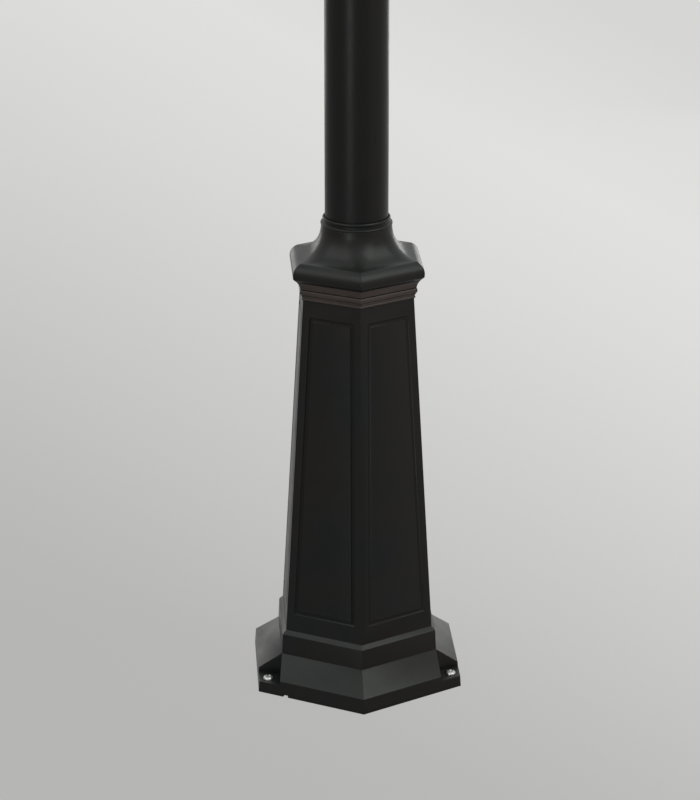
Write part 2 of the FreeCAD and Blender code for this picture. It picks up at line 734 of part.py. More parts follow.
# ---- hub, arms and braces ----
def finial(body, seat, scale):
    """A six-sided finial, moulded round a core that also makes the stud below its seat."""
    inner = "finialPointRadius/4"
    rings = [
        ("finialSeatApothem", "0"), ("finialSeatApothem", "finialSeatHeight"),
        ("finialBellyApothem", "finialBellyFoot"), ("finialBellyApothem", "finialBellyHead"),
        ("finialWaistApothem", "finialWaistHeight"), ("finialNeckApothem", "finialNeckHeight"),
        ("finialBeadApothem", "finialBeadFoot"), ("finialBeadApothem", "finialBeadHead"),
        ("finialSpikeApothem", "finialSpikeFoot")]
    corners = [(inner, seat)]
    corners += [(f"{scale}*{apothem}", f"({seat}+{scale}*{height})") for apothem, height in rings]
    head = f"({seat}+{scale}*finialHeight)"
    corners += [("finialPointRadius", head), (inner, head)]
    moulded(body, corners, f"{scale}*finialSeatApothem")
    core = new_sketch(body, "core", "XY_Plane", ("0", "0", f"({seat}-finialStud)"))
    hexagon(core, f"finialCoreApothem/{FACE}")
    pad(body, core, f"(finialStud+{scale}*finialBeadHead)")


def arm_hub():
    body = new_body("arm_hub")
    foot = f"({HUB_HEAD}-hubHeight)"
    block = new_sketch(body, "hub_block", "XY_Plane", ("0", "0", foot))
    hexagon(block, f"hubApothem/{FACE}")
    pad(body, block, "hubHeight")
    crown = "(hubRise-armWidth/2-pressClearance)"
    bore = new_sketch(body, "pole_bore", "XY_Plane", ("0", "0", foot))
    circle(bore, "0", "0", "upperPoleDiameter/2+pressClearance")
    pocket(body, bore, f"hubHeight-{crown}", reversed_=True)
    arms = new_sketch(body, "arm_socket", "YZ_Plane")
    hexagon(arms, f"(armWidth/2+pressClearance)/{FACE}", "0", ARM_LEVEL, 0)
    socket = pocket(body, arms, "2*hubApothem", reversed_=True)
    around(body, [socket], "headCount")
    stud = new_sketch(body, "finial_hole", "XY_Plane", ("0", "0", HUB_HEAD))
    hexagon(stud, f"(finialCoreApothem+pressClearance)/{FACE}")
    pocket(body, stud, "finialStud+1")
    place(body, HEAD_ANGLES[0])
    return body


def hub_finial():
    body = new_body("hub_finial")
    finial(body, HUB_HEAD, "1")
    place(body, HEAD_ANGLES[0])
    return body


def brace_collar():
    body = new_body("brace_collar")
    foot = f"({ARM_LEVEL}-braceDrop-braceCollarHeight/2)"
    block = new_sketch(body, "collar_block", "XY_Plane", ("0", "0", foot))
    hexagon(block, f"braceCollarApothem/{FACE}")
    circle(block, "0", "0", "upperPoleDiameter/2+pressClearance")
    pad(body, block, "braceCollarHeight")
    place(body, HEAD_ANGLES[0])
    return body


def brace_bar(body):
    """Flat bar bent in short runs through a quarter circle, from the collar up to the arm."""
    near = "(braceCollarApothem-armReach)"
    top = "(1-seatHeight/2-armWidth/2)"
    foot = "(0-seatHeight/2-braceDrop)"
    radius = f"({top}-{foot})"
    inner = f"({radius}-braceThickness)"
    centre = f"({near}+{radius})"
    turns = [90 / SIZES["braceRuns"] * i for i in range(SIZES["braceRuns"] + 1)]
    side = new_sketch(body, "bar_side", "XZ_Plane")
    outline(side, [
        (near, f"({foot}-braceTail)"),
        *[(f"({centre}-{radius}*cos({turn}))", f"({foot}+{radius}*sin({turn}))") for turn in turns],
        (f"({centre}+braceTail)", top),
        (f"({centre}+braceTail)", f"({top}-braceThickness)"),
        *[(f"({centre}-{inner}*cos({turn}))", f"({foot}+{inner}*sin({turn}))")
          for turn in reversed(turns)],
        (f"({near}+braceThickness)", f"({foot}-braceTail)"),
    ])
    pad(body, side, "braceWidth", midplane=True)


def lantern_arm(number, angle):
    """Arm tube welded to its brace and to the hexagonal seat that carries the lantern.
    The seat's top is the origin and the post lies towards -X."""
    body = new_body(f"lantern_arm_{number}")
    root = "(upperPoleDiameter/2+armRootGap-armReach)"
    seat_foot = "(0-seatHeight)"
    pendant_foot = f"({seat_foot}-seatPendant)"
    moulded(body, [
        ("seatTipApothem/2", "0"),
        ("seatApothem", "0"),
        ("seatApothem", seat_foot),
        ("seatApothem-seatStep", seat_foot),
        ("seatTipApothem", pendant_foot),
        ("seatTipApothem/2", pendant_foot),
    ], f"seatApothem/{FACE}")
    core = new_sketch(body, "seat_core", "XY_Plane", ("0", "0", pendant_foot))
    hexagon(core, "seatTipApothem")
    pad(body, core, "(seatPendant+seatHeight)")
    rod = new_sketch(body, "arm_rod", "YZ_Plane", ("0", "0", root))
    hexagon(rod, f"armWidth/2/{FACE}", "0", "0-seatHeight/2", 0)
    pad(body, rod, f"(0-{root}-seatApothem/2)")
    brace_bar(body)
    bore = new_sketch(body, "arm_bore", "YZ_Plane", ("0", "0", root))
    hexagon(bore, f"(armWidth/2-armWall)/{FACE}", "0", "0-seatHeight/2", 0)
    pocket(body, bore, f"(0-{root})", reversed_=True)
    wires = new_sketch(body, "nipple_bore", "XY_Plane")
    hexagon(wires, "nippleDiameter/2+pressClearance", sides=12)
    pocket(body, wires, "seatHeight/2")
    place(body, angle, "armReach", SEAT_HEAD)
    return body


# ---- lantern ----
def lug(body, low_across, high_across, low, high, width, middle="0"):
    """A flat lug reaching out along X, its width centred on middle."""
    sketch = new_sketch(body, "lug", "XY_Plane", ("0", "0", low))
    rectangle(sketch, low_across, f"({middle}-({width})/2)", high_across, f"({middle}+({width})/2)")
    return pad(body, sketch, f"({high}-{low})")


def knuckle(body, middle, length):
    """A hinge knuckle along Y at the lid's hinge axis."""
    sketch = new_sketch(body, "knuckle", "XZ_Plane", ("0", "0", f"(0-({middle}))"))
    circle(sketch, HINGE_REACH, LID_FOOT, "knuckleRadius")
    return pad(body, sketch, length, midplane=True)


def lantern_frame(number, angle):
    """Flared tray, six leaning window walls and the top moulding, in one casting, with
    the fixed hinge knuckles and the pin that is pressed into them."""
    body = new_body(f"lantern_frame_{number}")
    flare_head = "(trayBossHeight+trayFlareHeight)"
    run = "(trayFlareApothem-trayBossApothem)"
    moulded(body, [
        ("nippleDiameter/4", "0"),
        ("trayBossApothem", "0"),
        ("trayBossApothem", "trayBossHeight"),
        (f"trayBossApothem+{run}*trayFlareCurve", f"({flare_head}-trayFlareHeight*trayFlareCurve)"),
        ("trayFlareApothem", flare_head),
        ("trayRimApothem", f"({flare_head}+trayWall)"),
        ("trayRimApothem", CAGE_FOOT),
        ("cageFootApothem", CAGE_FOOT),
        ("cageHeadApothem", CAGE_HEAD),
        ("ringApothem", f"({CAGE_HEAD}+ringChamfer)"),
        ("ringApothem", RING_HEAD),
        ("ringInnerApothem", RING_HEAD),
        ("ringInnerApothem", f"({CAGE_HEAD}+cageWall-ringHeight/2)"),
        ("cageHeadApothem-cageWall", f"({CAGE_HEAD}-ringHeight/2)"),
        ("cageFootApothem-cageWall", CAGE_FOOT),
        ("cageFootApothem-2*cageWall", f"({flare_head}+trayWall)"),
        ("trayBossApothem+trayWall", "trayFloor"),
        ("nippleDiameter/4", "trayFloor"),
    ], f"trayBossApothem/{FACE}")
    # windows
    levels = ("cageFootApothem", CAGE_FOOT, "cageHeadApothem", CAGE_HEAD)
    window, slope, _ = face_sketch(body, "window", *levels)
    outline(window, face_trapezium(*levels, slope, f"({CAGE_FOOT}+cageRail)",
                                   f"({CAGE_HEAD}-cageRail)", "cagePost"))
    opening = pocket(body, window, "2*cageWall")
    around(body, [opening], "hexagonSides")
    # hinge lugs and knuckles
    under = f"({LID_FOOT}-knuckleRadius)"
    offset = "(knuckleLength/2+knuckleGap+knuckleLength/4)"
    for side in ("-1", "1"):
        middle = f"({side}*{offset})"
        lug(body, "ringInnerApothem+lugThickness", HINGE_REACH, under, f"({under}+lugThickness)",
            "knuckleLength/2", middle)
        knuckle(body, middle, "knuckleLength/2")
    pin = new_sketch(body, "hinge_pin", "XZ_Plane")
    circle(pin, HINGE_REACH, LID_FOOT, "hingePinDiameter/2")
    pad(body, pin, "(2*(knuckleLength+2*knuckleGap))", midplane=True)
    nipple = new_sketch(body, "nipple_bore", "XY_Plane")
    hexagon(nipple, "nippleDiameter/2+pressClearance", sides=12)
    pocket(body, nipple, "2*trayFloor", reversed_=True)
    place(body, angle, "armReach", SEAT_HEAD)
    return body


def lantern_panes(number, angle):
    """Six glass panes behind the windows, each lapping its window all round."""
    body = new_body(f"lantern_panes_{number}")
    slant = "cos(atan((cageHeadApothem-cageFootApothem)/cageHeight))"
    back = f"(cageWall+paneClearance/{slant})"
    levels = (f"(cageFootApothem-{back})", CAGE_FOOT, f"(cageHeadApothem-{back})", CAGE_HEAD)
    glass, slope, _ = face_sketch(body, "pane", *levels)
    outline(glass, face_trapezium(
        *levels, slope, f"({CAGE_FOOT}+cageRail-paneLap)",
        f"({CAGE_HEAD}-cageRail+paneLap)", "(cagePost-cageWall*tan(180/hexagonSides))"))
    pane = pad(body, glass, "paneThickness", reversed_=True)
    around(body, [pane], "hexagonSides")
    place(body, angle, "armReach", SEAT_HEAD)
    return body


def lantern_lid(number, angle):
    """Concave hexagonal roof with its finial cast on, hinged on its outer flat."""
    body = new_body(f"lantern_lid_{number}")
    wall = "lidWall"
    shoulder = "(lidRimApothem-lidShoulder)"
    run = f"({shoulder}-lidNeckApothem)"
    moulded(body, [
        ("ringApothem", LID_FOOT),
        ("lidRimApothem", f"({LID_FOOT}+lidRimHeight*lidRimLow)"),
        ("lidRimApothem", f"({LID_FOOT}+lidRimHeight*lidRimHigh)"),
        *cove((shoulder, ROOF_FOOT),
              (f"lidNeckApothem+{run}*lidCurve", f"{ROOF_FOOT}+lidRoofHeight*lidCurve"),
              ("lidNeckApothem", ROOF_HEAD), SIZES["lidCoveRuns"]),
        ("lidNeckApothem", ROOF_HEAD),
        ("lidNeckApothem", LID_HEAD),
        ("finialCoreApothem/2", LID_HEAD),
        ("finialCoreApothem/2", f"({LID_HEAD}-{wall})"),
        (f"(lidNeckApothem-{wall})", f"({LID_HEAD}-{wall})"),
        (f"(lidNeckApothem-{wall})", ROOF_HEAD),
        (f"(lidNeckApothem+{run}*lidCurve-2*{wall})", f"({ROOF_FOOT}+lidRoofHeight*lidCurve-{wall})"),
        (f"({shoulder}-2*{wall})", f"({ROOF_FOOT}-{wall}*0.5)"),
        (f"({shoulder}-2*{wall})", LID_FOOT),
    ], f"lidRimApothem/{FACE}")
    finial(body, LID_HEAD, "lidFinialScale")
    lug(body, f"({shoulder}-{wall})", HINGE_REACH, f"({LID_FOOT}+lugLift)",
        f"({LID_FOOT}+lugLift+lugThickness)", "knuckleLength-2*knuckleGap")
    knuckle(body, "0", "knuckleLength-2*knuckleGap")
    pin = new_sketch(body, "pin_bore", "XZ_Plane")
    circle(pin, HINGE_REACH, LID_FOOT, "hingePinDiameter/2+hingeRunningClearance")
    pocket(body, pin, "4*knuckleLength", midplane=True)
    # tab that hangs down outside the frame's ring, with the closing screw's thread
    tab = new_sketch(body, "closing_tab", "YZ_Plane", ("0", "0", TAB_FACE))
    rectangle(tab, "0-tabWidth/2", f"({SCREW_LEVEL}-tabWidth/2)",
              "tabWidth/2", f"({LID_FOOT}+lidRimHeight/2)")
    pad(body, tab, "tabThickness", reversed_=True)
    hole = new_sketch(body, "screw_hole", "YZ_Plane", ("0", "0", TAB_FACE))
    hexagon(hole, "(screwDiameter/2+pressClearance)/cos(15)", "0", SCREW_LEVEL, 0, 12)
    pocket(body, hole, "2*tabThickness")
    place(body, angle, "armReach", SEAT_HEAD)
    return body


def lid_screw(number, angle):
    """Closing screw with a six-sided head. It lies along X, in the lid's tab, and its
    tip bears on the frame's ring."""
    body = new_body(f"lid_screw_{number}")
    seat = f"({TAB_FACE}-tabThickness-lidGap)"
    head = new_sketch(body, "screw_head", "YZ_Plane", ("0", "0", seat))
    hexagon(head, "screwHeadDiameter/2", "0", SCREW_LEVEL)
    pad(body, head, "screwHeadHeight", reversed_=True)
    shank = new_sketch(body, "screw_shank", "YZ_Plane", ("0", "0", seat))
    hexagon(shank, "screwDiameter/2", "0", SCREW_LEVEL, 0, 12)
    pad(body, shank, f"(0-ringApothem-lidGap-{seat})")
    place(body, angle, "armReach", SEAT_HEAD)
    return body


# ---- bought pieces, one of each in every lantern ----
def lamp_holders():
    """Hexagonal holders with a cup for the lamp's cap and a threaded nipple below."""
    body = new_body("lamp_holders")
    floor = f"({SEAT_HEAD}+trayFloor)"
    outside = new_sketch(body, "holder_outside", "XY_Plane", ("0", "0", floor))
    hexagon(outside, f"holderApothem/{FACE}", "armReach")
    block = pad(body, outside, "holderHeight")
    cup = new_sketch(body, "cup", "XY_Plane", ("0", "0", f"({floor}+holderHeight)"))
    hexagon(cup, "lampCapRadius+lampFitClearance", "armReach", sides=12)
    room = pocket(body, cup, "lampCapDepth+lampFitClearance")
    stem = new_sketch(body, "nipple", "XY_Plane", ("0", "0", floor))
    hexagon(stem, "nippleDiameter/2", "armReach", sides=12)
    nipple = pad(body, stem, "trayFloor+nippleDepth", reversed_=True)
    around(body, [block, room, nipple], "headCount")
    place(body, HEAD_ANGLES[0])
    return body


def lamps():
    """Tubular lamps, each with its cap in a holder."""
    body = new_body("lamps")
    head = f"({SEAT_HEAD}+trayFloor+holderHeight)"
    cap = new_sketch(body, "lamp_cap", "XY_Plane", ("0", "0", f"({head}+lampFitClearance)"))
    hexagon(cap, "lampCapRadius", "armReach", sides=12)
    base = pad(body, cap, "lampCapDepth", reversed_=True)
    tube_ = new_sketch(body, "lamp_tube", "XY_Plane", ("0", "0", f"({head}+lampFitClearance)"))
    circle(tube_, "armReach", "0", "lampRadius")
    envelope = pad(body, tube_, "lampLength")
    around(body, [base, envelope], "headCount")
    place(body, HEAD_ANGLES[0])
    return body


POST_PARTS = [
    pedestal_casting, pedestal_cap, lower_pole, junction_box, junction_box_lid,
    terminal_block, cable_gland, pole_collar, upper_pole, arm_hub, hub_finial,
    brace_collar, lamp_holders, lamps]
HEAD_PARTS = [lantern_arm, lantern_frame, lantern_panes, lantern_lid, lid_screw]

parts = [make() for make in POST_PARTS]
for number, angle in enumerate(HEAD_ANGLES, 1):
    parts += [make(number, angle) for make in HEAD_PARTS]
document.recompute()

for item in document.Objects:
    if "Invalid" in item.State or "Error" in item.State:
        raise RuntimeError(f"{item.Label} did not rebuild: {item.State}")
for part in parts:
    if part.Shape.isNull() or not part.Shape.isValid():
        raise RuntimeError(f"{part.Label} has no sound shape")

os.makedirs(NODE_FOLDER, exist_ok=True)
for part in parts:
    part.Shape.exportStep(os.path.join(NODE_FOLDER, f"{part.Label}.step"))
print(f"{len(parts)} sub-parts written")
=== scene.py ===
import bmesh
import bpy
import json
import math
from mathutils import Matrix, Vector


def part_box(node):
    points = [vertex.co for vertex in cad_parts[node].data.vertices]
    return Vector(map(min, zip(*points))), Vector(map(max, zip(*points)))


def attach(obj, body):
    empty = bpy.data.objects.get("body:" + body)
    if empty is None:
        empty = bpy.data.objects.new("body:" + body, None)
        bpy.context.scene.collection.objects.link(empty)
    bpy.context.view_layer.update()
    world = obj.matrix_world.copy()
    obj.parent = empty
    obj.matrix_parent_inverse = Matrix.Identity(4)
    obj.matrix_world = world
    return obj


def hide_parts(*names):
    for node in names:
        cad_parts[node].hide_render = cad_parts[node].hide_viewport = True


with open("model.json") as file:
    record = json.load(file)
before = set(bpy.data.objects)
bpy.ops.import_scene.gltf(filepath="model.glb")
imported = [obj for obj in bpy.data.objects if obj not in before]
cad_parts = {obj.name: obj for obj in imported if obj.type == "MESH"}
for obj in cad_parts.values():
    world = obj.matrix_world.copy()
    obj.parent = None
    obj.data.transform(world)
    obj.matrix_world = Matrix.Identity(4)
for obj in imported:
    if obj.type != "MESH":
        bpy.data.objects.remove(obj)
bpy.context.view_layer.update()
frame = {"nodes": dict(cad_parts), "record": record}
mm = 0.001
weldDistance = 2e-6   # points closer than this are one
print("frame loaded:", len(frame["nodes"]), "nodes")


def newMaterial(name):
    material = bpy.data.materials.new(name)
    material.use_nodes = True
    nodes = material.node_tree.nodes
    return material, nodes, material.node_tree.links, nodes["Principled BSDF"]


def noiseNode(nodes, links, scale, detail=3.0, rough=0.55, stretch=None):
    coords = nodes.new("ShaderNodeTexCoord")
    noise = nodes.new("ShaderNodeTexNoise")
    noise.inputs["Scale"].default_value = scale
    noise.inputs["Detail"].default_value = detail
    noise.inputs["Roughness"].default_value = rough
    source = coords.outputs["Object"]
    if stretch:
        mapping = nodes.new("ShaderNodeMapping")
        mapping.inputs["Scale"].default_value = stretch
        links.new(source, mapping.inputs["Vector"])
        source = mapping.outputs["Vector"]
    links.new(source, noise.inputs["Vector"])
    return noise


def rampNode(nodes, links, source, stops):
    ramp = nodes.new("ShaderNodeValToRGB")
    while len(ramp.color_ramp.elements) < len(stops):
        ramp.color_ramp.elements.new(0.5)
    for element, (place, colour) in zip(ramp.color_ramp.elements, stops):
        element.position = place
        element.color = (*colour, 1)
    links.new(source, ramp.inputs["Fac"])
    return ramp


def rangeNode(nodes, links, source, low, high, fromLow=0.3, fromHigh=0.7):
    node = nodes.new("ShaderNodeMapRange")
    node.inputs["From Min"].default_value = fromLow
    node.inputs["From Max"].default_value = fromHigh
    node.inputs["To Min"].default_value = low
    node.inputs["To Max"].default_value = high
    links.new(source, node.inputs["Value"])
    return node


def mathsNode(nodes, links, operation, *sources):
    node = nodes.new("ShaderNodeMath")
    node.operation = operation
    for socket, source in zip(node.inputs, sources):
        if isinstance(source, (int, float)):
            socket.default_value = source
        else:
            links.new(source, socket)
    return node.outputs[0]


def bumpChain(nodes, links, shader, layers):   # layers of (height, strength, distance in metres)
    last = None
    for height, strength, distance in layers:
        bump = nodes.new("ShaderNodeBump")
        bump.inputs["Strength"].default_value = strength
        bump.inputs["Distance"].default_value = distance
        links.new(height, bump.inputs["Height"])
        if last:
            links.new(last.outputs["Normal"], bump.inputs["Normal"])
        last = bump
    links.new(last.outputs["Normal"], shader.inputs["Normal"])


# Each noise below is scale, detail, roughness and, where it has one, stretch. Each bump is
# strength and distance in metres.
coatLook = {
    "dark": (0.0058, 0.0070, 0.0066),   # plain black of the coat
    "warm": (0.0094, 0.0076, 0.0069),   # where it turns a little brown
    "cloud": (7.0, 4.0, 0.6),           # noise that the tone follows
    "toneSplit": (0.38, 0.62),
    "dustAndToplight": (0.026, 0.031, 0.028),      # fine dust and painted light from above on what faces up
    "dustAndToplightShare": 0.6,
    "dustAndToplightFacing": (0.35, 1.0),          # how far up a face looks, with none of the dust and painted light and with all of it
    "drift": (38.0, 5.0, 0.7),          # noise of the dust and painted light from above, and of the roughness
    "patchShare": (0.35, 1.0),
    "roughness": (0.30, 0.40),
    "cavityReach": 0.007,               # how far the painted shade in creases and recesses reaches, in metres
    "cavityOpen": (0.35, 0.95),
    "cavitySamples": 8,
    # painted shade: the near-black colour laid into creases, grooves and recesses
    "cavityShade": (0.0006, 0.0006, 0.0006),
    "cavityRoughness": 0.8,
    "peel": (260, 2.0, 0.4),            # slow waves of the orange peel
    "peelBump": (0.12, 0.0006),
    "grain": (1500, 2.0, 0.5),          # powder grains
    "grainReach": 0.0002,
}
cornicePaintedLight = {   # painted light: the moulding under the rim is painted lighter and browner than the rest, standing in for the light it catches
    "dark": (0.0270, 0.0205, 0.0185),
    "warm": (0.0460, 0.0320, 0.0280),
}


def powderCoat(name, look, grainDepth, warmth, gloss):
    material, nodes, links, shader = newMaterial(name)
    cloud = noiseNode(nodes, links, *look["cloud"])
    warm = tuple(dark + (brown - dark) * warmth for dark, brown in zip(look["dark"], look["warm"]))
    tone = rampNode(nodes, links, cloud.outputs["Fac"], list(zip(look["toneSplit"], (look["dark"], warm))))
    # dust and painted light: faces that look up turn a lighter greenish grey, as if lit from above
    geometry = nodes.new("ShaderNodeNewGeometry")
    split = nodes.new("ShaderNodeSeparateXYZ")
    links.new(geometry.outputs["Normal"], split.inputs["Vector"])
    upward = rangeNode(nodes, links, split.outputs["Z"], 0.0, look["dustAndToplightShare"], *look["dustAndToplightFacing"])
    drift = noiseNode(nodes, links, *look["drift"])
    patch = rangeNode(nodes, links, drift.outputs["Fac"], *look["patchShare"])
    amount = mathsNode(nodes, links, "MULTIPLY", upward.outputs["Result"], patch.outputs["Result"])
    dustAndToplit = nodes.new("ShaderNodeMix")
    dustAndToplit.data_type = "RGBA"
    links.new(amount, dustAndToplit.inputs["Factor"])
    links.new(tone.outputs["Color"], dustAndToplit.inputs["A"])
    dustAndToplit.inputs["B"].default_value = (*look["dustAndToplight"], 1)
    # painted shade: ambient occlusion darkens the coat's colour in grooves, creases and recesses, and makes
    # them rougher
    cavityShade = nodes.new("ShaderNodeAmbientOcclusion")
    cavityShade.inputs["Distance"].default_value = look["cavityReach"]
    cavityShade.samples = look["cavitySamples"]
    opened = rangeNode(nodes, links, cavityShade.outputs["AO"], 0, 1, *look["cavityOpen"])
    paintedShade = nodes.new("ShaderNodeMix")
    paintedShade.data_type = "RGBA"
    links.new(opened.outputs["Result"], paintedShade.inputs["Factor"])
    paintedShade.inputs["A"].default_value = (*look["cavityShade"], 1)
    links.new(dustAndToplit.outputs["Result"], paintedShade.inputs["B"])
    links.new(paintedShade.outputs["Result"], shader.inputs["Base Color"])
    sheen = rangeNode(nodes, links, drift.outputs["Fac"], *look["roughness"])
    dull = rangeNode(nodes, links, opened.outputs["Result"], look["cavityRoughness"], 0, 0, 1)
    rough = mathsNode(nodes, links, "MAXIMUM", sheen.outputs["Result"], dull.outputs["Result"])
    links.new(rough, shader.inputs["Roughness"])
    shader.inputs["Specular IOR Level"].default_value = gloss
    peel = noiseNode(nodes, links, *look["peel"])
    speck = noiseNode(nodes, links, *look["grain"])
    bumpChain(nodes, links, shader, [
        (peel.outputs["Fac"], *look["peelBump"]),
        (speck.outputs["Fac"], grainDepth, look["grainReach"])])
    return material


finishLooks = {
    "zincPlate": {
        "cloud": (700.0, 4.0, 0.65),
        "tones": [(0.3, (0.26, 0.26, 0.25)), (0.55, (0.50, 0.50, 0.48)), (0.75, (0.64, 0.63, 0.59))],
        "roughness": (0.36, 0.52),
        "relief": (2600.0, 3.0, 0.6),
        "bump": (0.15, 0.0001),
        "sockets": {"Metallic": 1.0},
    },
    "agedBrass": {
        "cloud": (260.0, 4.0, 0.6),
        "tones": [(0.3, (0.33, 0.22, 0.08)), (0.6, (0.66, 0.47, 0.19)), (0.8, (0.74, 0.57, 0.27))],
        "roughness": (0.22, 0.40),
        "relief": (60.0, 2.0, 0.5, (1, 1, 60)),   # turning marks
        "bump": (0.08, 0.0001),
        "sockets": {"Metallic": 1.0},
    },
    "windowGlass": {
        "cloud": (14.0, 3.0, 0.5),
        "tones": [(0.3, (0.90, 0.94, 0.93)), (0.7, (0.97, 0.98, 0.97))],
        "film": (55.0, 5.0, 0.7),
        "roughness": (0.015, 0.07),
        "relief": (22.0, 1.0, 0.3, (1, 1, 0.35)),   # slow ripples, longer upward
        "bump": (0.12, 0.002),
        "sockets": {"Transmission Weight": 1.0, "IOR": 1.5},
    },
    "opalGlass": {
        "cloud": (120.0, 4.0, 0.6),
        "tones": [(0.3, (0.80, 0.79, 0.75)), (0.7, (0.88, 0.87, 0.84))],
        "roughness": (0.18, 0.30),
        "bump": (0.05, 0.0001),
        "sockets": {"Subsurface Weight": 0.25, "Subsurface Radius": (0.008, 0.008, 0.007)},
    },
    "boxPlastic": {
        "cloud": (26.0, 4.0, 0.6),
        "tones": [(0.3, (0.29, 0.30, 0.30)), (0.7, (0.36, 0.37, 0.37))],
        "roughness": (0.38, 0.55),
        "relief": (1800.0, 2.0, 0.5),
        "bump": (0.12, 0.0002),
    },
    "terminalPlastic": {
        "cloud": (26.0, 4.0, 0.6),
        "tones": [(0.3, (0.66, 0.66, 0.62)), (0.7, (0.76, 0.76, 0.72))],
        "roughness": (0.38, 0.55),
        "relief": (1800.0, 2.0, 0.5),
        "bump": (0.12, 0.0002),
    },
    "holderPorcelain": {
        "cloud": (26.0, 4.0, 0.6),
        "tones": [(0.3, (0.76, 0.75, 0.70)), (0.7, (0.84, 0.83, 0.79))],
        "roughness": (0.12, 0.2),
        "relief": (900.0, 2.0, 0.5),
        "bump": (0.12, 0.0002),
    },
}


def plainFinish(name, look):   # without a film or a relief of its own, the cloud serves for it
    material, nodes, links, shader = newMaterial(name)
    cloud = noiseNode(nodes, links, *look["cloud"])
    tone = rampNode(nodes, links, cloud.outputs["Fac"], look["tones"])
    links.new(tone.outputs["Color"], shader.inputs["Base Color"])
    film = noiseNode(nodes, links, *look["film"]) if "film" in look else cloud
    rough = rangeNode(nodes, links, film.outputs["Fac"], *look["roughness"])
    links.new(rough.outputs["Result"], shader.inputs["Roughness"])
    relief = noiseNode(nodes, links, *look["relief"]) if "relief" in look else cloud
    bumpChain(nodes, links, shader, [(relief.outputs["Fac"], *look["bump"])])
    for socket, setting in look.get("sockets", {}).items():
        shader.inputs[socket].default_value = setting
    return material


castCoat = powderCoat("castCoat", coatLook, grainDepth=0.14, warmth=1.0, gloss=0.16)
# painted light: the cornice's coat is lighter than the rest of the casting
corniceCoat = powderCoat("corniceCoat", {**coatLook, **cornicePaintedLight}, grainDepth=0.14, warmth=1.0, gloss=0.2)
tubeCoat = powderCoat("tubeCoat", coatLook, grainDepth=0.08, warmth=0.7, gloss=0.13)
finishes = {name: plainFinish(name, look) for name, look in finishLooks.items()}
zinc, brass, opal = finishes["zincPlate"], finishes["agedBrass"], finishes["opalGlass"]
slotLooks = {
    "iron_casting": castCoat, "coated_casting": castCoat, "coated_steel": tubeCoat,
    "brass_screw": brass, "grey_plastic": finishes["boxPlastic"],
    "white_plastic": finishes["terminalPlastic"], "holder_ceramic": finishes["holderPorcelain"],
    "lamp_glass": opal, "clear_glass": finishes["windowGlass"],
}
slotOf = {part["node"]: part["material_slot"] for part in frame["record"]["subparts"]}
bodyOf = {node: body for body, held in frame["record"]["behaviour"]["bodies"].items() for node in held}
for name, node in frame["nodes"].items():
    node.data.materials.clear()
    node.data.materials.append(slotLooks[slotOf[name]])
print("finishes mixed:", len(bpy.data.materials))


def shadeSmooth(mesh, angle):
    mesh.shade_smooth()
    mesh.set_sharp_from_angle(angle=math.radians(angle))


def link(name, mesh, material, smoothAngle=32):
    piece = bpy.data.objects.new(name, mesh)
    bpy.context.scene.collection.objects.link(piece)
    mesh.materials.clear()
    mesh.materials.append(material)
    shadeSmooth(mesh, smoothAngle)
    return piece


def settle(piece):   # the modifiers become part of the mesh
    graph = bpy.context.evaluated_depsgraph_get()
    mesh = bpy.data.meshes.new_from_object(piece.evaluated_get(graph))
    old = piece.data
    piece.modifiers.clear()
    piece.data = mesh
    bpy.data.meshes.remove(old)


def keep(piece, node):   # the piece stands for a CAD node and rides on that node's body
    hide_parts(node)
    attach(piece, bodyOf[node])


def joinInto(piece, *others):
    merged = bmesh.new()
    for source in (piece, *others):
        merged.from_mesh(source.data)
    merged.to_mesh(piece.data)
    merged.free()
    for source in others:
        bpy.data.objects.remove(source)


def roundedCopy(node, width, segments=2, angle=24, smoothAngle=22):
    # a copy of a CAD node, its flat faces joined and its edges rounded
    mesh = frame["nodes"][node].data.copy()
    bm = bmesh.new()
    bm.from_mesh(mesh)
    bmesh.ops.remove_doubles(bm, verts=bm.verts, dist=weldDistance)
    bmesh.ops.dissolve_limit(bm, angle_limit=math.radians(0.5), verts=bm.verts, edges=bm.edges)
    bm.to_mesh(mesh)
    bm.free()
    piece = link(node + "Coated", mesh, slotLooks[slotOf[node]], smoothAngle)
    bevel = piece.modifiers.new("edges", "BEVEL")
    bevel.width = width
    bevel.segments = segments
    bevel.limit_method = "ANGLE"
    bevel.angle_limit = math.radians(angle)
    bevel.use_clamp_overlap = True
    bevel.harden_normals = True
    settle(piece)
    keep(piece, node)
    return piece


def newTree(name, sockets):   # its inputs are named, besides the geometry it starts from
    tree = bpy.data.node_groups.new(name, "GeometryNodeTree")
    face = tree.interface
    face.new_socket("Geometry", in_out="INPUT", socket_type="NodeSocketGeometry")
    for label, kind in sockets.items():
        face.new_socket(label, in_out="INPUT", socket_type="NodeSocket" + kind)
    face.new_socket("Geometry", in_out="OUTPUT", socket_type="NodeSocketGeometry")
    return tree, tree.nodes, tree.links, tree.nodes.new("NodeGroupInput")


def endTree(nodes, links, start, result):   # makes the result real and gives it its material
    real = nodes.new("GeometryNodeRealizeInstances")
    links.new(result, real.inputs[0])
    paint = nodes.new("GeometryNodeSetMaterial")
    links.new(real.outputs[0], paint.inputs["Geometry"])
    links.new(start.outputs["Finish"], paint.inputs["Material"])
    links.new(paint.outputs[0], nodes.new("NodeGroupOutput").inputs[0])


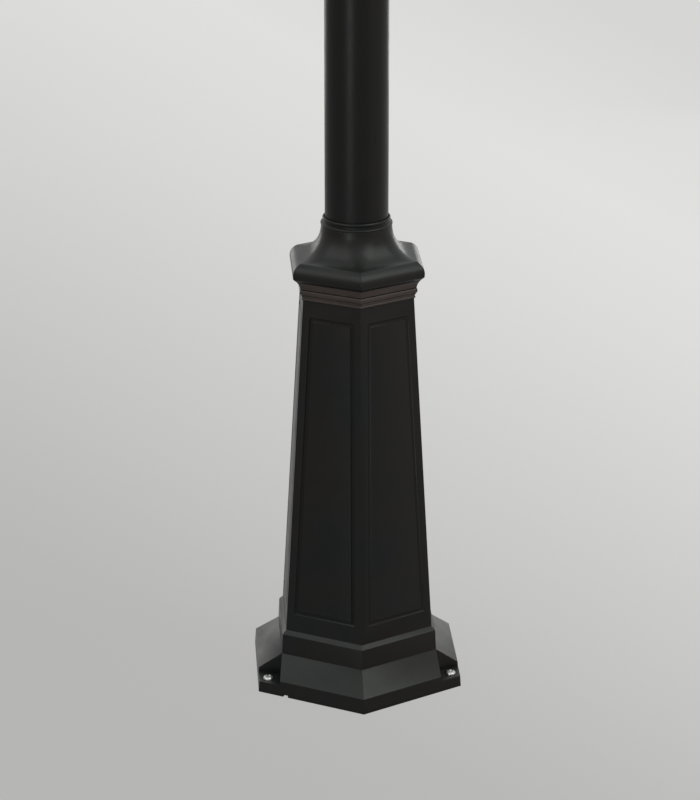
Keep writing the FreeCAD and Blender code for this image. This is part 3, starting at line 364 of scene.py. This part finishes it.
# One tree lofts every piece that goes round the post's axis: a profile's point gives the
# half width across flats, the half width across corners and the height of one level.
def loftTree():
    tree, nodes, links, start = newTree("hexToRoundLoft", {
        "Profile": "Object", "Levels": "Int", "Steps Round": "Int", "Finish": "Material"})

    def maths(operation, *sources):
        return mathsNode(nodes, links, operation, *sources)

    steps, levels = start.outputs["Steps Round"], start.outputs["Levels"]
    grid = nodes.new("GeometryNodeMeshGrid")
    links.new(steps, grid.inputs["Size X"])
    links.new(maths("ADD", steps, 1), grid.inputs["Vertices X"])
    links.new(maths("SUBTRACT", levels, 1), grid.inputs["Size Y"])
    links.new(levels, grid.inputs["Vertices Y"])
    place = nodes.new("GeometryNodeInputPosition").outputs[0]
    split = nodes.new("ShaderNodeSeparateXYZ")
    links.new(place, split.inputs[0])
    across = maths("ROUND", maths("ADD", split.outputs["X"], maths("DIVIDE", steps, 2)))
    up = maths("ROUND", maths("ADD", split.outputs["Y"], maths("DIVIDE", maths("SUBTRACT", levels, 1), 2)))

    profile = nodes.new("GeometryNodeObjectInfo")
    links.new(start.outputs["Profile"], profile.inputs["Object"])
    sample = nodes.new("GeometryNodeSampleIndex")
    sample.data_type = "FLOAT_VECTOR"
    links.new(profile.outputs["Geometry"], sample.inputs["Geometry"])
    links.new(nodes.new("GeometryNodeInputPosition").outputs[0], sample.inputs["Value"])
    links.new(up, sample.inputs["Index"])
    level = nodes.new("ShaderNodeSeparateXYZ")
    links.new(sample.outputs[0], level.inputs[0])
    flat, corner, height = level.outputs

    # each sixth of the way round is centred on a corner, its steps crowded towards it
    sixth = maths("DIVIDE", steps, 6)
    number = maths("FLOOR", maths("DIVIDE", across, sixth))
    share = maths("SUBTRACT", maths("DIVIDE", across, sixth), number)
    part = maths("SUBTRACT", maths("MULTIPLY", share, 2), 1)
    aside = maths("MULTIPLY", maths("MULTIPLY", part, maths("ABSOLUTE", part)), math.pi / 6)
    turn = maths("ADD", maths("MULTIPLY", maths("ADD", number, 0.5), math.pi / 3), aside)
    away = maths("ABSOLUTE", aside)

    # the corner's radius, and how far out its centre lies
    side = math.cos(math.pi / 6)
    radius = maths("DIVIDE", maths("SUBTRACT", maths("DIVIDE", flat, side), corner), 1 / side - 1)
    reach = maths("DIVIDE", maths("SUBTRACT", flat, radius), side)
    arcEnd = maths("ARCTAN2", maths("MULTIPLY", radius, 0.5),
                   maths("ADD", reach, maths("MULTIPLY", radius, side)))
    dip = maths("MULTIPLY", reach, maths("SINE", away))
    rest = maths("SUBTRACT", maths("MULTIPLY", radius, radius), maths("MULTIPLY", dip, dip))
    arc = maths("ADD", maths("MULTIPLY", reach, maths("COSINE", away)),
                maths("SQRT", maths("MAXIMUM", rest, 0)))
    straight = maths("DIVIDE", flat, maths("COSINE", maths("SUBTRACT", math.pi / 6, away)))
    inArc = maths("LESS_THAN", away, maths("ADD", arcEnd, 1e-5))
    out = maths("ADD", maths("MULTIPLY", arc, inArc),
                maths("MULTIPLY", straight, maths("SUBTRACT", 1, inArc)))
    point = nodes.new("ShaderNodeCombineXYZ")
    links.new(maths("MULTIPLY", out, maths("COSINE", turn)), point.inputs["X"])
    links.new(maths("MULTIPLY", out, maths("SINE", turn)), point.inputs["Y"])
    links.new(height, point.inputs["Z"])
    move = nodes.new("GeometryNodeSetPosition")
    links.new(grid.outputs["Mesh"], move.inputs["Geometry"])
    links.new(point.outputs[0], move.inputs["Position"])
    weld = nodes.new("GeometryNodeMergeByDistance")
    links.new(move.outputs[0], weld.inputs["Geometry"])
    weld.inputs["Distance"].default_value = weldDistance
    endTree(nodes, links, start, weld.outputs[0])
    return tree


def runTree(name, tree, settings, smoothAngle):   # keeps the tree's result as a plain mesh
    carrier = bpy.data.objects.new(name, bpy.data.meshes.new(name))
    bpy.context.scene.collection.objects.link(carrier)
    modifier = carrier.modifiers.new("build", "NODES")
    modifier.node_group = tree
    sockets = {item.name: item.identifier for item in tree.interface.items_tree
               if item.in_out == "INPUT"}
    for label, setting in settings.items():
        modifier[sockets[label]] = setting
    settle(carrier)
    bm = bmesh.new()
    bm.from_mesh(carrier.data)
    bmesh.ops.dissolve_degenerate(bm, dist=1e-7, edges=bm.edges)
    bmesh.ops.recalc_face_normals(bm, faces=bm.faces)
    bm.to_mesh(carrier.data)
    bm.free()
    shadeSmooth(carrier.data, smoothAngle)
    return carrier


hexToRound = loftTree()


def lofted(name, levels, material, steps=144, closed=True, smoothAngle=32):
    # levels of (half width across flats, half width across corners, height) in mm
    points = [Vector(level) * mm for level in levels]
    if closed:
        points.append(points[0])
    mesh = bpy.data.meshes.new("profile")
    mesh.from_pydata(points, [(i, i + 1) for i in range(len(points) - 1)], [])
    profile = bpy.data.objects.new("profile", mesh)
    bpy.context.scene.collection.objects.link(profile)
    piece = runTree(name, hexToRound, {
        "Profile": profile, "Levels": len(points), "Steps Round": steps, "Finish": material}, smoothAngle)
    bpy.data.objects.remove(profile)
    return piece


def turnedPiece(name, profile, material, steps=96, closed=True, smoothAngle=32):
    return lofted(name, [(r, r, z) for r, z in profile], material, steps, closed, smoothAngle)


pedestalLook = {"edge": 0.35 * mm, "edgeSteps": 2}
pedestal = roundedCopy("pedestal_casting", pedestalLook["edge"], pedestalLook["edgeSteps"])

corniceLook = {
    "stepsRound": 144,
    "cut": 497.5,           # above this level the casting's own moulding gives way
    "keepWithin": 63.0,     # but not what lies within this half width across flats
    "cornerRadius": 0.6,
    # half width across flats and height, in mm: astragal, bead and cove, then the inside
    "profile": [
        (65.8, 496.5), (66.9, 496.8), (67.7, 497.4), (68.0, 498.3), (67.8, 499.2), (67.3, 499.6),
        (67.5, 500.6), (68.0, 501.8), (68.7, 502.7), (68.3, 503.2), (68.4, 503.6),
        (69.3, 503.9), (69.9, 504.6), (70.2, 505.6), (70.3, 506.8), (70.2, 508.0), (69.9, 509.0),
        (69.3, 509.7), (68.5, 509.9), (68.6, 510.4), (69.4, 510.7), (69.6, 512.0), (70.0, 513.5),
        (70.6, 515.0), (71.3, 516.4), (72.1, 517.7), (72.9, 518.8), (73.3, 519.4), (73.3, 519.8),
        (62.0, 519.8), (62.0, 496.5)],
}


def mitredLevels(profile, cornerRadius):   # the corners keep one small radius
    side = math.cos(math.pi / 6)
    return [(flat, flat / side - cornerRadius * (1 / side - 1), height) for flat, height in profile]


def clearCornice(piece, look):   # takes the casting's own outer faces away above the cut
    bm = bmesh.new()
    bm.from_mesh(piece.data)
    spare = []
    for part in bm.faces:
        middle = part.calc_center_median() / mm
        reach = max(middle.x * math.cos(turn) + middle.y * math.sin(turn)
                    for turn in (i * math.pi / 3 for i in range(6)))
        if middle.z > look["cut"] and reach > look["keepWithin"]:
            spare.append(part)
    bmesh.ops.delete(bm, geom=spare, context="FACES")
    bm.to_mesh(piece.data)
    bm.free()


clearCornice(pedestal, corniceLook)
cornice = lofted("cornice", mitredLevels(corniceLook["profile"], corniceLook["cornerRadius"]), corniceCoat,
                 corniceLook["stepsRound"], smoothAngle=40)
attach(cornice, "post")
print("pedestal rounded:", len(pedestal.data.polygons), "faces")

capLook = {
    "stepsRound": 192,
    "cornerRadius": 1.3,
    # half width across flats and height of the rim, from its seat up, in mm
    "rim": [
        (73.3, 519.8), (73.7, 519.9), (75.2, 521.4), (77.3, 523.3), (78.1, 524.1), (78.4, 525.4),
        (78.6, 528.3), (78.3, 531.3), (77.4, 534.2), (75.9, 536.8), (74.0, 539.0), (71.9, 540.8),
        (70.2, 541.9), (69.4, 542.3)],
    "bellFoot": 542.5,
    "bellRise": 37.2,
    "bellSteps": 22,
    "neck": 42.6,           # radius of the bell at its head
    "flatSpread": 26.4,     # how much wider its foot is, across flats and across corners
    "cornerSpread": 36.9,
    # radius and height of the bead and the ring at the neck, then down the bore
    "neckRings": [
        (42.5, 579.9), (43.1, 580.2), (43.4, 581.1), (43.1, 582.0), (42.4, 582.5), (41.0, 582.8),
        (40.2, 583.4), (39.9, 585.6), (40.1, 586.1), (40.7, 586.4), (41.0, 587.4), (40.8, 588.6),
        (40.2, 589.3), (39.4, 589.6), (38.45, 589.2), (38.4, 588.4), (38.4, 548.0)],
    # the hollow under the bell, as half widths across flats and corners, and height
    "room": [(44.0, 50.2, 547.8), (61.6, 70.4, 533.8), (62.0, 71.0, 521.0), (62.0, 71.0, 519.8)],
}


def bellLevels(look):   # a quarter ellipse, six-sided at its foot and round at its head
    levels = []
    for step in range(1, look["bellSteps"] + 1):
        turn = step / look["bellSteps"] * math.pi / 2
        spread, rise = 1 - math.sin(turn), 1 - math.cos(turn)
        levels.append((look["neck"] + look["flatSpread"] * spread,
                       look["neck"] + look["cornerSpread"] * spread,
                       look["bellFoot"] + look["bellRise"] * rise))
    return levels


capLevels = mitredLevels(capLook["rim"], capLook["cornerRadius"]) + bellLevels(capLook)
capLevels += [(r, r, z) for r, z in capLook["neckRings"]] + capLook["room"]
cap = lofted("bellCap", capLevels, castCoat, capLook["stepsRound"], smoothAngle=44)
keep(cap, "pedestal_cap")
print("bell cap lofted:", len(cap.data.polygons), "faces")

poleLook = {
    "steps": 144,
    "edge": 0.6,
    "lower": (38.1, 3.0),     # outer radius and wall, in mm
    "upper": (30.15, 2.9),
    "flange": {
        "flat": 51.5, "corner": 58.6, "foot": 519.8, "thick": 8.0, "edge": 0.6, "steps": 120,
        "inTube": 0.5,        # how far it reaches into the tube's wall
        "weld": [(3.2, 0.0), (1.6, 0.9), (0.5, 2.6), (-0.5, 3.2)],   # from the tube out, from the plate up
    },
}


def poleTube(name, node, size, look):
    low, high = (corner[2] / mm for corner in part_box(node))
    outer, wall = size
    inner, edge = outer - wall, look["edge"]
    return turnedPiece(name, [
        (inner, low), (outer - edge, low), (outer, low + edge), (outer, high - edge),
        (outer - edge, high), (inner, high)], tubeCoat, look["steps"])


def weldedFlange(look, tube):   # hexagonal plate with a fillet of weld round the tube
    flat, corner, foot, edge = look["flat"], look["corner"], look["foot"], look["edge"]
    head, inside = foot + look["thick"], tube - look["inTube"]
    plate = [(inside, inside, foot), (flat - edge, corner - edge, foot), (flat, corner, foot + edge),
             (flat, corner, head - edge), (flat - edge, corner - edge, head)]
    weld = [(tube + out, tube + out, head + up) for out, up in look["weld"]]
    return lofted("flange", plate + weld, tubeCoat, look["steps"])


lowerTube = poleTube("lowerTube", "lower_pole", poleLook["lower"], poleLook)
joinInto(lowerTube, weldedFlange(poleLook["flange"], poleLook["lower"][0]))
shadeSmooth(lowerTube.data, 32)
keep(lowerTube, "lower_pole")
upperTube = poleTube("upperTube", "upper_pole", poleLook["upper"], poleLook)
keep(upperTube, "upper_pole")
print("poles turned")

edgeWidths = {   # rounding of the other pieces' edges, in mm
    "pole_collar": 0.7, "arm_hub": 1.2, "hub_finial": 0.6, "brace_collar": 1.0,
    "junction_box": 0.8, "junction_box_lid": 0.6, "lamp_holders": 0.5,
}
headEdgeWidths = {
    "lantern_arm": 0.7, "lantern_frame": 0.6, "lantern_lid": 0.6, "lid_screw": 0.4, "lantern_panes": 0.4,
}
for node, width in edgeWidths.items():
    roundedCopy(node, width * mm)
for number in (1, 2, 3):
    for node, width in headEdgeWidths.items():
        roundedCopy(f"{node}_{number}", width * mm)
print("castings rounded")

# One tree sets every ring of screws: the angle of the first, the level and the lean.
upright, sideways = 0.0, math.pi / 2
screwLook = {
    "anchor": {"ring": 131.0, "start": -30, "level": 13.8, "lean": upright},
    "flange": {"ring": 47.0, "start": 30, "level": 527.8, "lean": upright},
    "collarGrub": {"ring": 37.0, "start": 60, "level": 1301.8, "lean": sideways},
    "hubGrub": {"ring": 46.0, "start": 30, "level": 1748.0, "lean": sideways},
    "braceBolt": {"ring": 47.0, "start": -30, "level": 1630.8, "lean": sideways},
}


def ringTree():
    tree, nodes, links, start = newTree("ringOfScrews", {
        "Screw": "Object", "Count": "Int", "Ring Radius": "Float", "Start Angle": "Float",
        "Level": "Float", "Lean": "Float", "Finish": "Material"})

    def maths(operation, *sources):
        return mathsNode(nodes, links, operation, *sources)

    index = nodes.new("GeometryNodeInputIndex").outputs[0]
    step = maths("DIVIDE", 2 * math.pi, start.outputs["Count"])
    angle = maths("ADD", maths("MULTIPLY", index, step), start.outputs["Start Angle"])
    place = nodes.new("ShaderNodeCombineXYZ")
    links.new(maths("MULTIPLY", maths("COSINE", angle), start.outputs["Ring Radius"]), place.inputs["X"])
    links.new(maths("MULTIPLY", maths("SINE", angle), start.outputs["Ring Radius"]), place.inputs["Y"])
    links.new(start.outputs["Level"], place.inputs["Z"])
    turn = nodes.new("ShaderNodeCombineXYZ")
    links.new(start.outputs["Lean"], turn.inputs["Y"])
    links.new(angle, turn.inputs["Z"])
    rotation = nodes.new("FunctionNodeEulerToRotation")
    links.new(turn.outputs[0], rotation.inputs[0])
    points = nodes.new("GeometryNodePoints")
    links.new(start.outputs["Count"], points.inputs["Count"])
    links.new(place.outputs[0], points.inputs["Position"])
    info = nodes.new("GeometryNodeObjectInfo")
    links.new(start.outputs["Screw"], info.inputs["Object"])
    copies = nodes.new("GeometryNodeInstanceOnPoints")
    links.new(points.outputs[0], copies.inputs["Points"])
    links.new(info.outputs["Geometry"], copies.inputs["Instance"])
    links.new(rotation.outputs[0], copies.inputs["Rotation"])
    endTree(nodes, links, start, copies.outputs[0])
    return tree


ringOfScrews = ringTree()


def ringOf(name, source, look, material, smoothAngle=32):   # three on the post, one to each arm
    return runTree(name, ringOfScrews, {
        "Screw": source, "Count": 3, "Ring Radius": look["ring"] * mm,
        "Start Angle": math.radians(look["start"]), "Level": look["level"] * mm, "Lean": look["lean"],
        "Finish": material}, smoothAngle)


def cutAway(piece, cutter):
    boolean = piece.modifiers.new("recess", "BOOLEAN")
    boolean.operation = "DIFFERENCE"
    boolean.solver = "EXACT"
    boolean.object = cutter
    settle(piece)
    bpy.data.objects.remove(cutter)


def prism(name, low, high, material):   # joins two rings of points of one length
    mesh = bpy.data.meshes.new(name)
    bm = bmesh.new()
    below = [bm.verts.new(point) for point in low]
    above = [bm.verts.new(point) for point in high]
    bm.faces.new(list(reversed(below)))
    bm.faces.new(above)
    for i in range(len(below)):
        after = (i + 1) % len(below)
        bm.faces.new((below[i], below[after], above[after], above[i]))
    bmesh.ops.recalc_face_normals(bm, faces=bm.faces)
    bm.to_mesh(mesh)
    bm.free()
    return link(name, mesh, material)


panHeadLook = {
    "head": [(0, 3.7), (2.6, 3.65), (4.4, 3.4), (5.4, 2.9), (6.0, 2.1), (6.3, 1.1), (6.2, 0.04),
             (3.9, 0.02), (3.9, -10.0), (3.2, -12.5), (0, -12.5)],
    "steps": 48,
    "recess": (8.4, 2.2, 2.6),        # length, width and depth of one arm of the cross
    "recessFoot": (0.28, 0.34),       # half its length and width at its foot, as shares of these
    "recessAbove": 0.5,               # how far the cutter stands out of the head
    "recessTurn": 25,
}


def recessBar(look):   # one arm of the cross recess, narrower at its foot
    length, width, depth = look["recess"]
    longShare, wideShare = look["recessFoot"]
    head = look["head"][0][1]
    corners = [(-1, -1), (1, -1), (1, 1), (-1, 1)]
    low = [Vector((x * length * longShare, y * width * wideShare, head - depth)) * mm for x, y in corners]
    high = [Vector((x * length / 2, y * width / 2, head + look["recessAbove"])) * mm for x, y in corners]
    return prism("bar", low, high, zinc)


def panHeadScrew(look):   # its seat is at the origin
    screw = turnedPiece("panHead", look["head"], zinc, look["steps"], closed=False)
    for turn in (look["recessTurn"], look["recessTurn"] + 90):
        bar = recessBar(look)
        bar.data.transform(Matrix.Rotation(math.radians(turn), 4, "Z"))
        cutAway(screw, bar)
    return screw


hexHeadLook = {"corner": 5.7, "foot": 0.02, "head": 4.0, "chamfer": 0.6, "chamferIn": 0.3, "steps": 48}


def hexHeadScrew(look):   # hexagon head with chamfered ends
    corner, foot, head, cut = look["corner"], look["foot"], look["head"], look["chamfer"]
    flat = corner * math.cos(math.pi / 6)
    end = flat - look["chamferIn"]
    return lofted("hexHead", [
        (0, 0, foot), (end, end, foot), (flat, corner, foot + cut), (flat, corner, head - cut),
        (end, end, head), (0, 0, head)], zinc, look["steps"], closed=False, smoothAngle=28)


grubLook = {
    "profile": [(0, -3.0), (2.7, -3.0), (2.7, 0.0), (2.5, 0.2), (1.5, 0.2), (1.4, -1.8), (0, -2.0)],
    "steps": 24,
}


def grubScrew(look):
    return turnedPiece("grub", look["profile"], zinc, look["steps"], closed=False)


screwKinds = {
    "anchor": panHeadScrew(panHeadLook),
    "flange": hexHeadScrew(hexHeadLook),
    "collarGrub": grubScrew(grubLook),
    "hubGrub": grubScrew(grubLook),
    "braceBolt": hexHeadScrew(hexHeadLook),
}
for kind, source in screwKinds.items():
    ring = ringOf(kind + "Screws", source, screwLook[kind], zinc)
    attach(ring, "post")
for source in screwKinds.values():
    bpy.data.objects.remove(source)
print("screws set")

lampLook = {
    "steps": 48,
    "ring": {"ring": 230.0, "start": -30, "level": 0.0, "lean": upright},
    # radius and height, in mm
    "glass": [(0, 1878.4), (14.2, 1878.4), (15.4, 1880.5), (15.9, 1884), (15.9, 1948), (15.2, 1954),
              (12.8, 1959.4), (8.6, 1962.6), (4, 1963.9), (0, 1964.0)],
    "cap": [(0, 1852.4), (5, 1852.4), (9, 1855), (12.6, 1857), (12.9, 1859), (12.4, 1860.6),
            (12.9, 1862.2), (12.4, 1863.8), (12.9, 1865.4), (12.4, 1867), (12.9, 1868.6), (12.9, 1876),
            (14.4, 1878.4), (0, 1878.4)],
}
lampGlass = turnedPiece("lampGlass", lampLook["glass"], opal, lampLook["steps"], closed=False)
lampCap = turnedPiece("lampCap", lampLook["cap"], brass, lampLook["steps"], closed=False)
lampGlasses = ringOf("lampGlasses", lampGlass, lampLook["ring"], opal)
lampCaps = ringOf("lampCaps", lampCap, lampLook["ring"], brass)
keep(lampGlasses, "lamps")
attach(lampCaps, "post")
for source in (lampGlass, lampCap):
    bpy.data.objects.remove(source)
print("lamps made")

cameraLook = {   # metres, degrees and millimetres, and the picture's size in pixels
    "distance": 3.199, "height": 1.516, "turn": 3.77, "aside": 0.14, "down": 19.95,
    "lens": 125.28, "sensor": 36, "picture": (700, 800),
}


def photoCamera(look):
    data = bpy.data.cameras.new("photoCamera")
    data.sensor_width = look["sensor"]
    data.lens = look["lens"]
    camera = bpy.data.objects.new("photoCamera", data)
    turn = math.radians(look["turn"])
    away = look["distance"]
    camera.location = (-away * math.sin(turn), -away * math.cos(turn), look["height"])
    camera.rotation_euler = (math.radians(90 - look["down"]), 0, math.radians(look["aside"]) - turn)
    bpy.context.scene.collection.objects.link(camera)
    bpy.context.scene.camera = camera


stageLook = {
    "floorSize": 40.0,
    "floorLevel": -0.0005,
    "floorRoughness": 0.9,
    "shadowShare": 0.05,      # how much of the floor's own shading shows
    # shade of grey from 0 to 255, against the distance along the slanting gradient in pixels
    "shades": [(-285, 217), (-200, 222), (-100, 226.5), (-40, 224), (50, 219), (150, 212), (250, 205),
               (350, 198), (445, 191), (545, 185), (645, 183), (740, 183)],
    "slant": 0.5,             # of the gradient, as the share that goes sideways
    "tint": (1.0, 0.9955, 0.978),
    "skyHorizon": (0.72, 0.72, 0.71),
    "skyZenith": (1.05, 1.06, 1.07),
    "skySplit": (0.1, 0.8),   # heights of the two in the sky, from 0 to 1
    "ambient": 0.35,
    "ambientTint": (0.98, 0.99, 1.0),
}


def linearShade(shade):
    share = shade / 255
    return share / 12.92 if share <= 0.04045 else ((share + 0.055) / 1.055) ** 2.4


def rayShare(nodes, links):   # 1 for camera, glossy and transmission rays
    path = nodes.new("ShaderNodeLightPath")
    either = mathsNode(nodes, links, "MAXIMUM", path.outputs["Is Camera Ray"], path.outputs["Is Glossy Ray"])
    return mathsNode(nodes, links, "MAXIMUM", either, path.outputs["Is Transmission Ray"])


def gradientNodes(nodes, links, look, view):
    # the floor's shade runs in slanting bands, wider with the distance along the ground
    down, turn = math.radians(view["down"]), math.radians(view["turn"])
    wide, high = view["picture"]
    focal = view["lens"] / view["sensor"] * high   # in pixels
    ahead = (math.sin(turn), math.cos(turn))
    aside = (math.cos(turn), -math.sin(turn))
    foot = (-view["distance"] * math.sin(turn), -view["distance"] * math.cos(turn))

    def planeSum(forwardShare, asideShare, constant):
        weights = [forwardShare * ahead[i] + asideShare * aside[i] for i in range(2)]
        dot = nodes.new("ShaderNodeVectorMath")
        dot.operation = "DOT_PRODUCT"
        links.new(coords.outputs["Object"], dot.inputs[0])
        dot.inputs[1].default_value = (*weights, 0)
        return mathsNode(nodes, links, "ADD", dot.outputs["Value"],
                         constant - weights[0] * foot[0] - weights[1] * foot[1])

    coords = nodes.new("ShaderNodeTexCoord")
    drop = planeSum(-math.sin(down), -look["slant"], view["height"] * math.cos(down))
    depth = planeSum(math.cos(down), 0, view["height"] * math.sin(down))
    depth = mathsNode(nodes, links, "MAXIMUM", depth, 0.5)
    along = mathsNode(nodes, links, "MULTIPLY", mathsNode(nodes, links, "DIVIDE", drop, depth), focal)
    along = mathsNode(nodes, links, "ADD", along, high / 2 - look["slant"] * wide / 2)
    first, last = look["shades"][0][0], look["shades"][-1][0]
    share = rangeNode(nodes, links, along, 0, 1, first, last)
    return rampNode(nodes, links, share.outputs["Result"], [
        ((place - first) / (last - first), tuple(linearShade(shade) * t for t in look["tint"]))
        for place, shade in look["shades"]])


def paleFloor(look, view):
    mesh = bpy.data.meshes.new("floor")
    half = look["floorSize"] / 2
    corners = [(-half, -half, 0), (half, -half, 0), (half, half, 0), (-half, half, 0)]
    mesh.from_pydata(corners, [], [(0, 1, 2, 3)])
    floor = bpy.data.objects.new("floor", mesh)
    floor.location.z = look["floorLevel"]
    bpy.context.scene.collection.objects.link(floor)
    material, nodes, links, shader = newMaterial("paleFloor")
    shader.inputs["Roughness"].default_value = look["floorRoughness"]
    band = gradientNodes(nodes, links, look, view)
    links.new(band.outputs["Color"], shader.inputs["Base Color"])
    glow = nodes.new("ShaderNodeEmission")
    links.new(band.outputs["Color"], glow.inputs["Color"])
    mix = nodes.new("ShaderNodeMixShader")
    glowing = mathsNode(nodes, links, "MULTIPLY", rayShare(nodes, links), 1 - look["shadowShare"])
    links.new(glowing, mix.inputs["Fac"])
    links.new(shader.outputs["BSDF"], mix.inputs[1])
    links.new(glow.outputs["Emission"], mix.inputs[2])
    links.new(mix.outputs["Shader"], nodes["Material Output"].inputs["Surface"])
    mesh.materials.append(material)


def paleSky(look):
    world = bpy.data.worlds.new("studio")
    bpy.context.scene.world = world
    world.use_nodes = True
    nodes, links = world.node_tree.nodes, world.node_tree.links
    backdrop = nodes["Background"]
    coords = nodes.new("ShaderNodeTexCoord")
    split = nodes.new("ShaderNodeSeparateXYZ")
    links.new(coords.outputs["Generated"], split.inputs["Vector"])
    tints = (look["skyHorizon"], look["skyZenith"])
    sky = rampNode(nodes, links, split.outputs["Z"], list(zip(look["skySplit"], tints)))
    links.new(sky.outputs["Color"], backdrop.inputs["Color"])
    ambient = nodes.new("ShaderNodeBackground")
    ambient.inputs["Color"].default_value = (*look["ambientTint"], 1)
    ambient.inputs["Strength"].default_value = look["ambient"]
    mix = nodes.new("ShaderNodeMixShader")
    links.new(rayShare(nodes, links), mix.inputs["Fac"])
    links.new(ambient.outputs[0], mix.inputs[1])
    links.new(backdrop.outputs[0], mix.inputs[2])
    links.new(mix.outputs[0], nodes["World Output"].inputs["Surface"])


lightLook = {
    # place, aim, size, watts and colour of each soft light
    "upperRight": ((2.3, -1.5, 3.0), (0, 0, 0.6), 2.6, 85, (0.93, 1.0, 0.96)),
    "upperLeft": ((-2.4, -1.3, 2.8), (0, 0, 0.6), 2.6, 38, (0.96, 1.0, 0.98)),
    "lowLeft": ((-1.35, -2.6, 0.45), (0, 0, 0.5), 0.7, 13, (0.95, 1.0, 0.97)),
    "backRight": ((1.3, 2.6, 0.45), (0, 0, 0.1), 0.8, 5, (0.96, 1.0, 0.97)),
    "backLeft": ((-1.3, 2.6, 0.45), (0, 0, 0.1), 0.8, 4, (1.0, 1.0, 0.96)),
    "warmRight": ((2.6, -1.6, 0.7), (0, 0, 0.3), 1.0, 2.5, (1.0, 0.55, 0.45)),
}


def softLights(looks):
    for name, (place, aim, size, watts, colour) in looks.items():
        data = bpy.data.lights.new(name, "AREA")
        data.shape = "SQUARE"
        data.size = size
        data.energy = watts
        data.color = colour
        lamp = bpy.data.objects.new(name, data)
        lamp.location = place
        lamp.rotation_euler = (Vector(aim) - Vector(place)).to_track_quat("-Z", "Y").to_euler()
        bpy.context.scene.collection.objects.link(lamp)


photoCamera(cameraLook)
paleFloor(stageLook, cameraLook)
paleSky(stageLook)
softLights(lightLook)
bpy.context.scene.view_settings.view_transform = "Standard"
print("stage set")
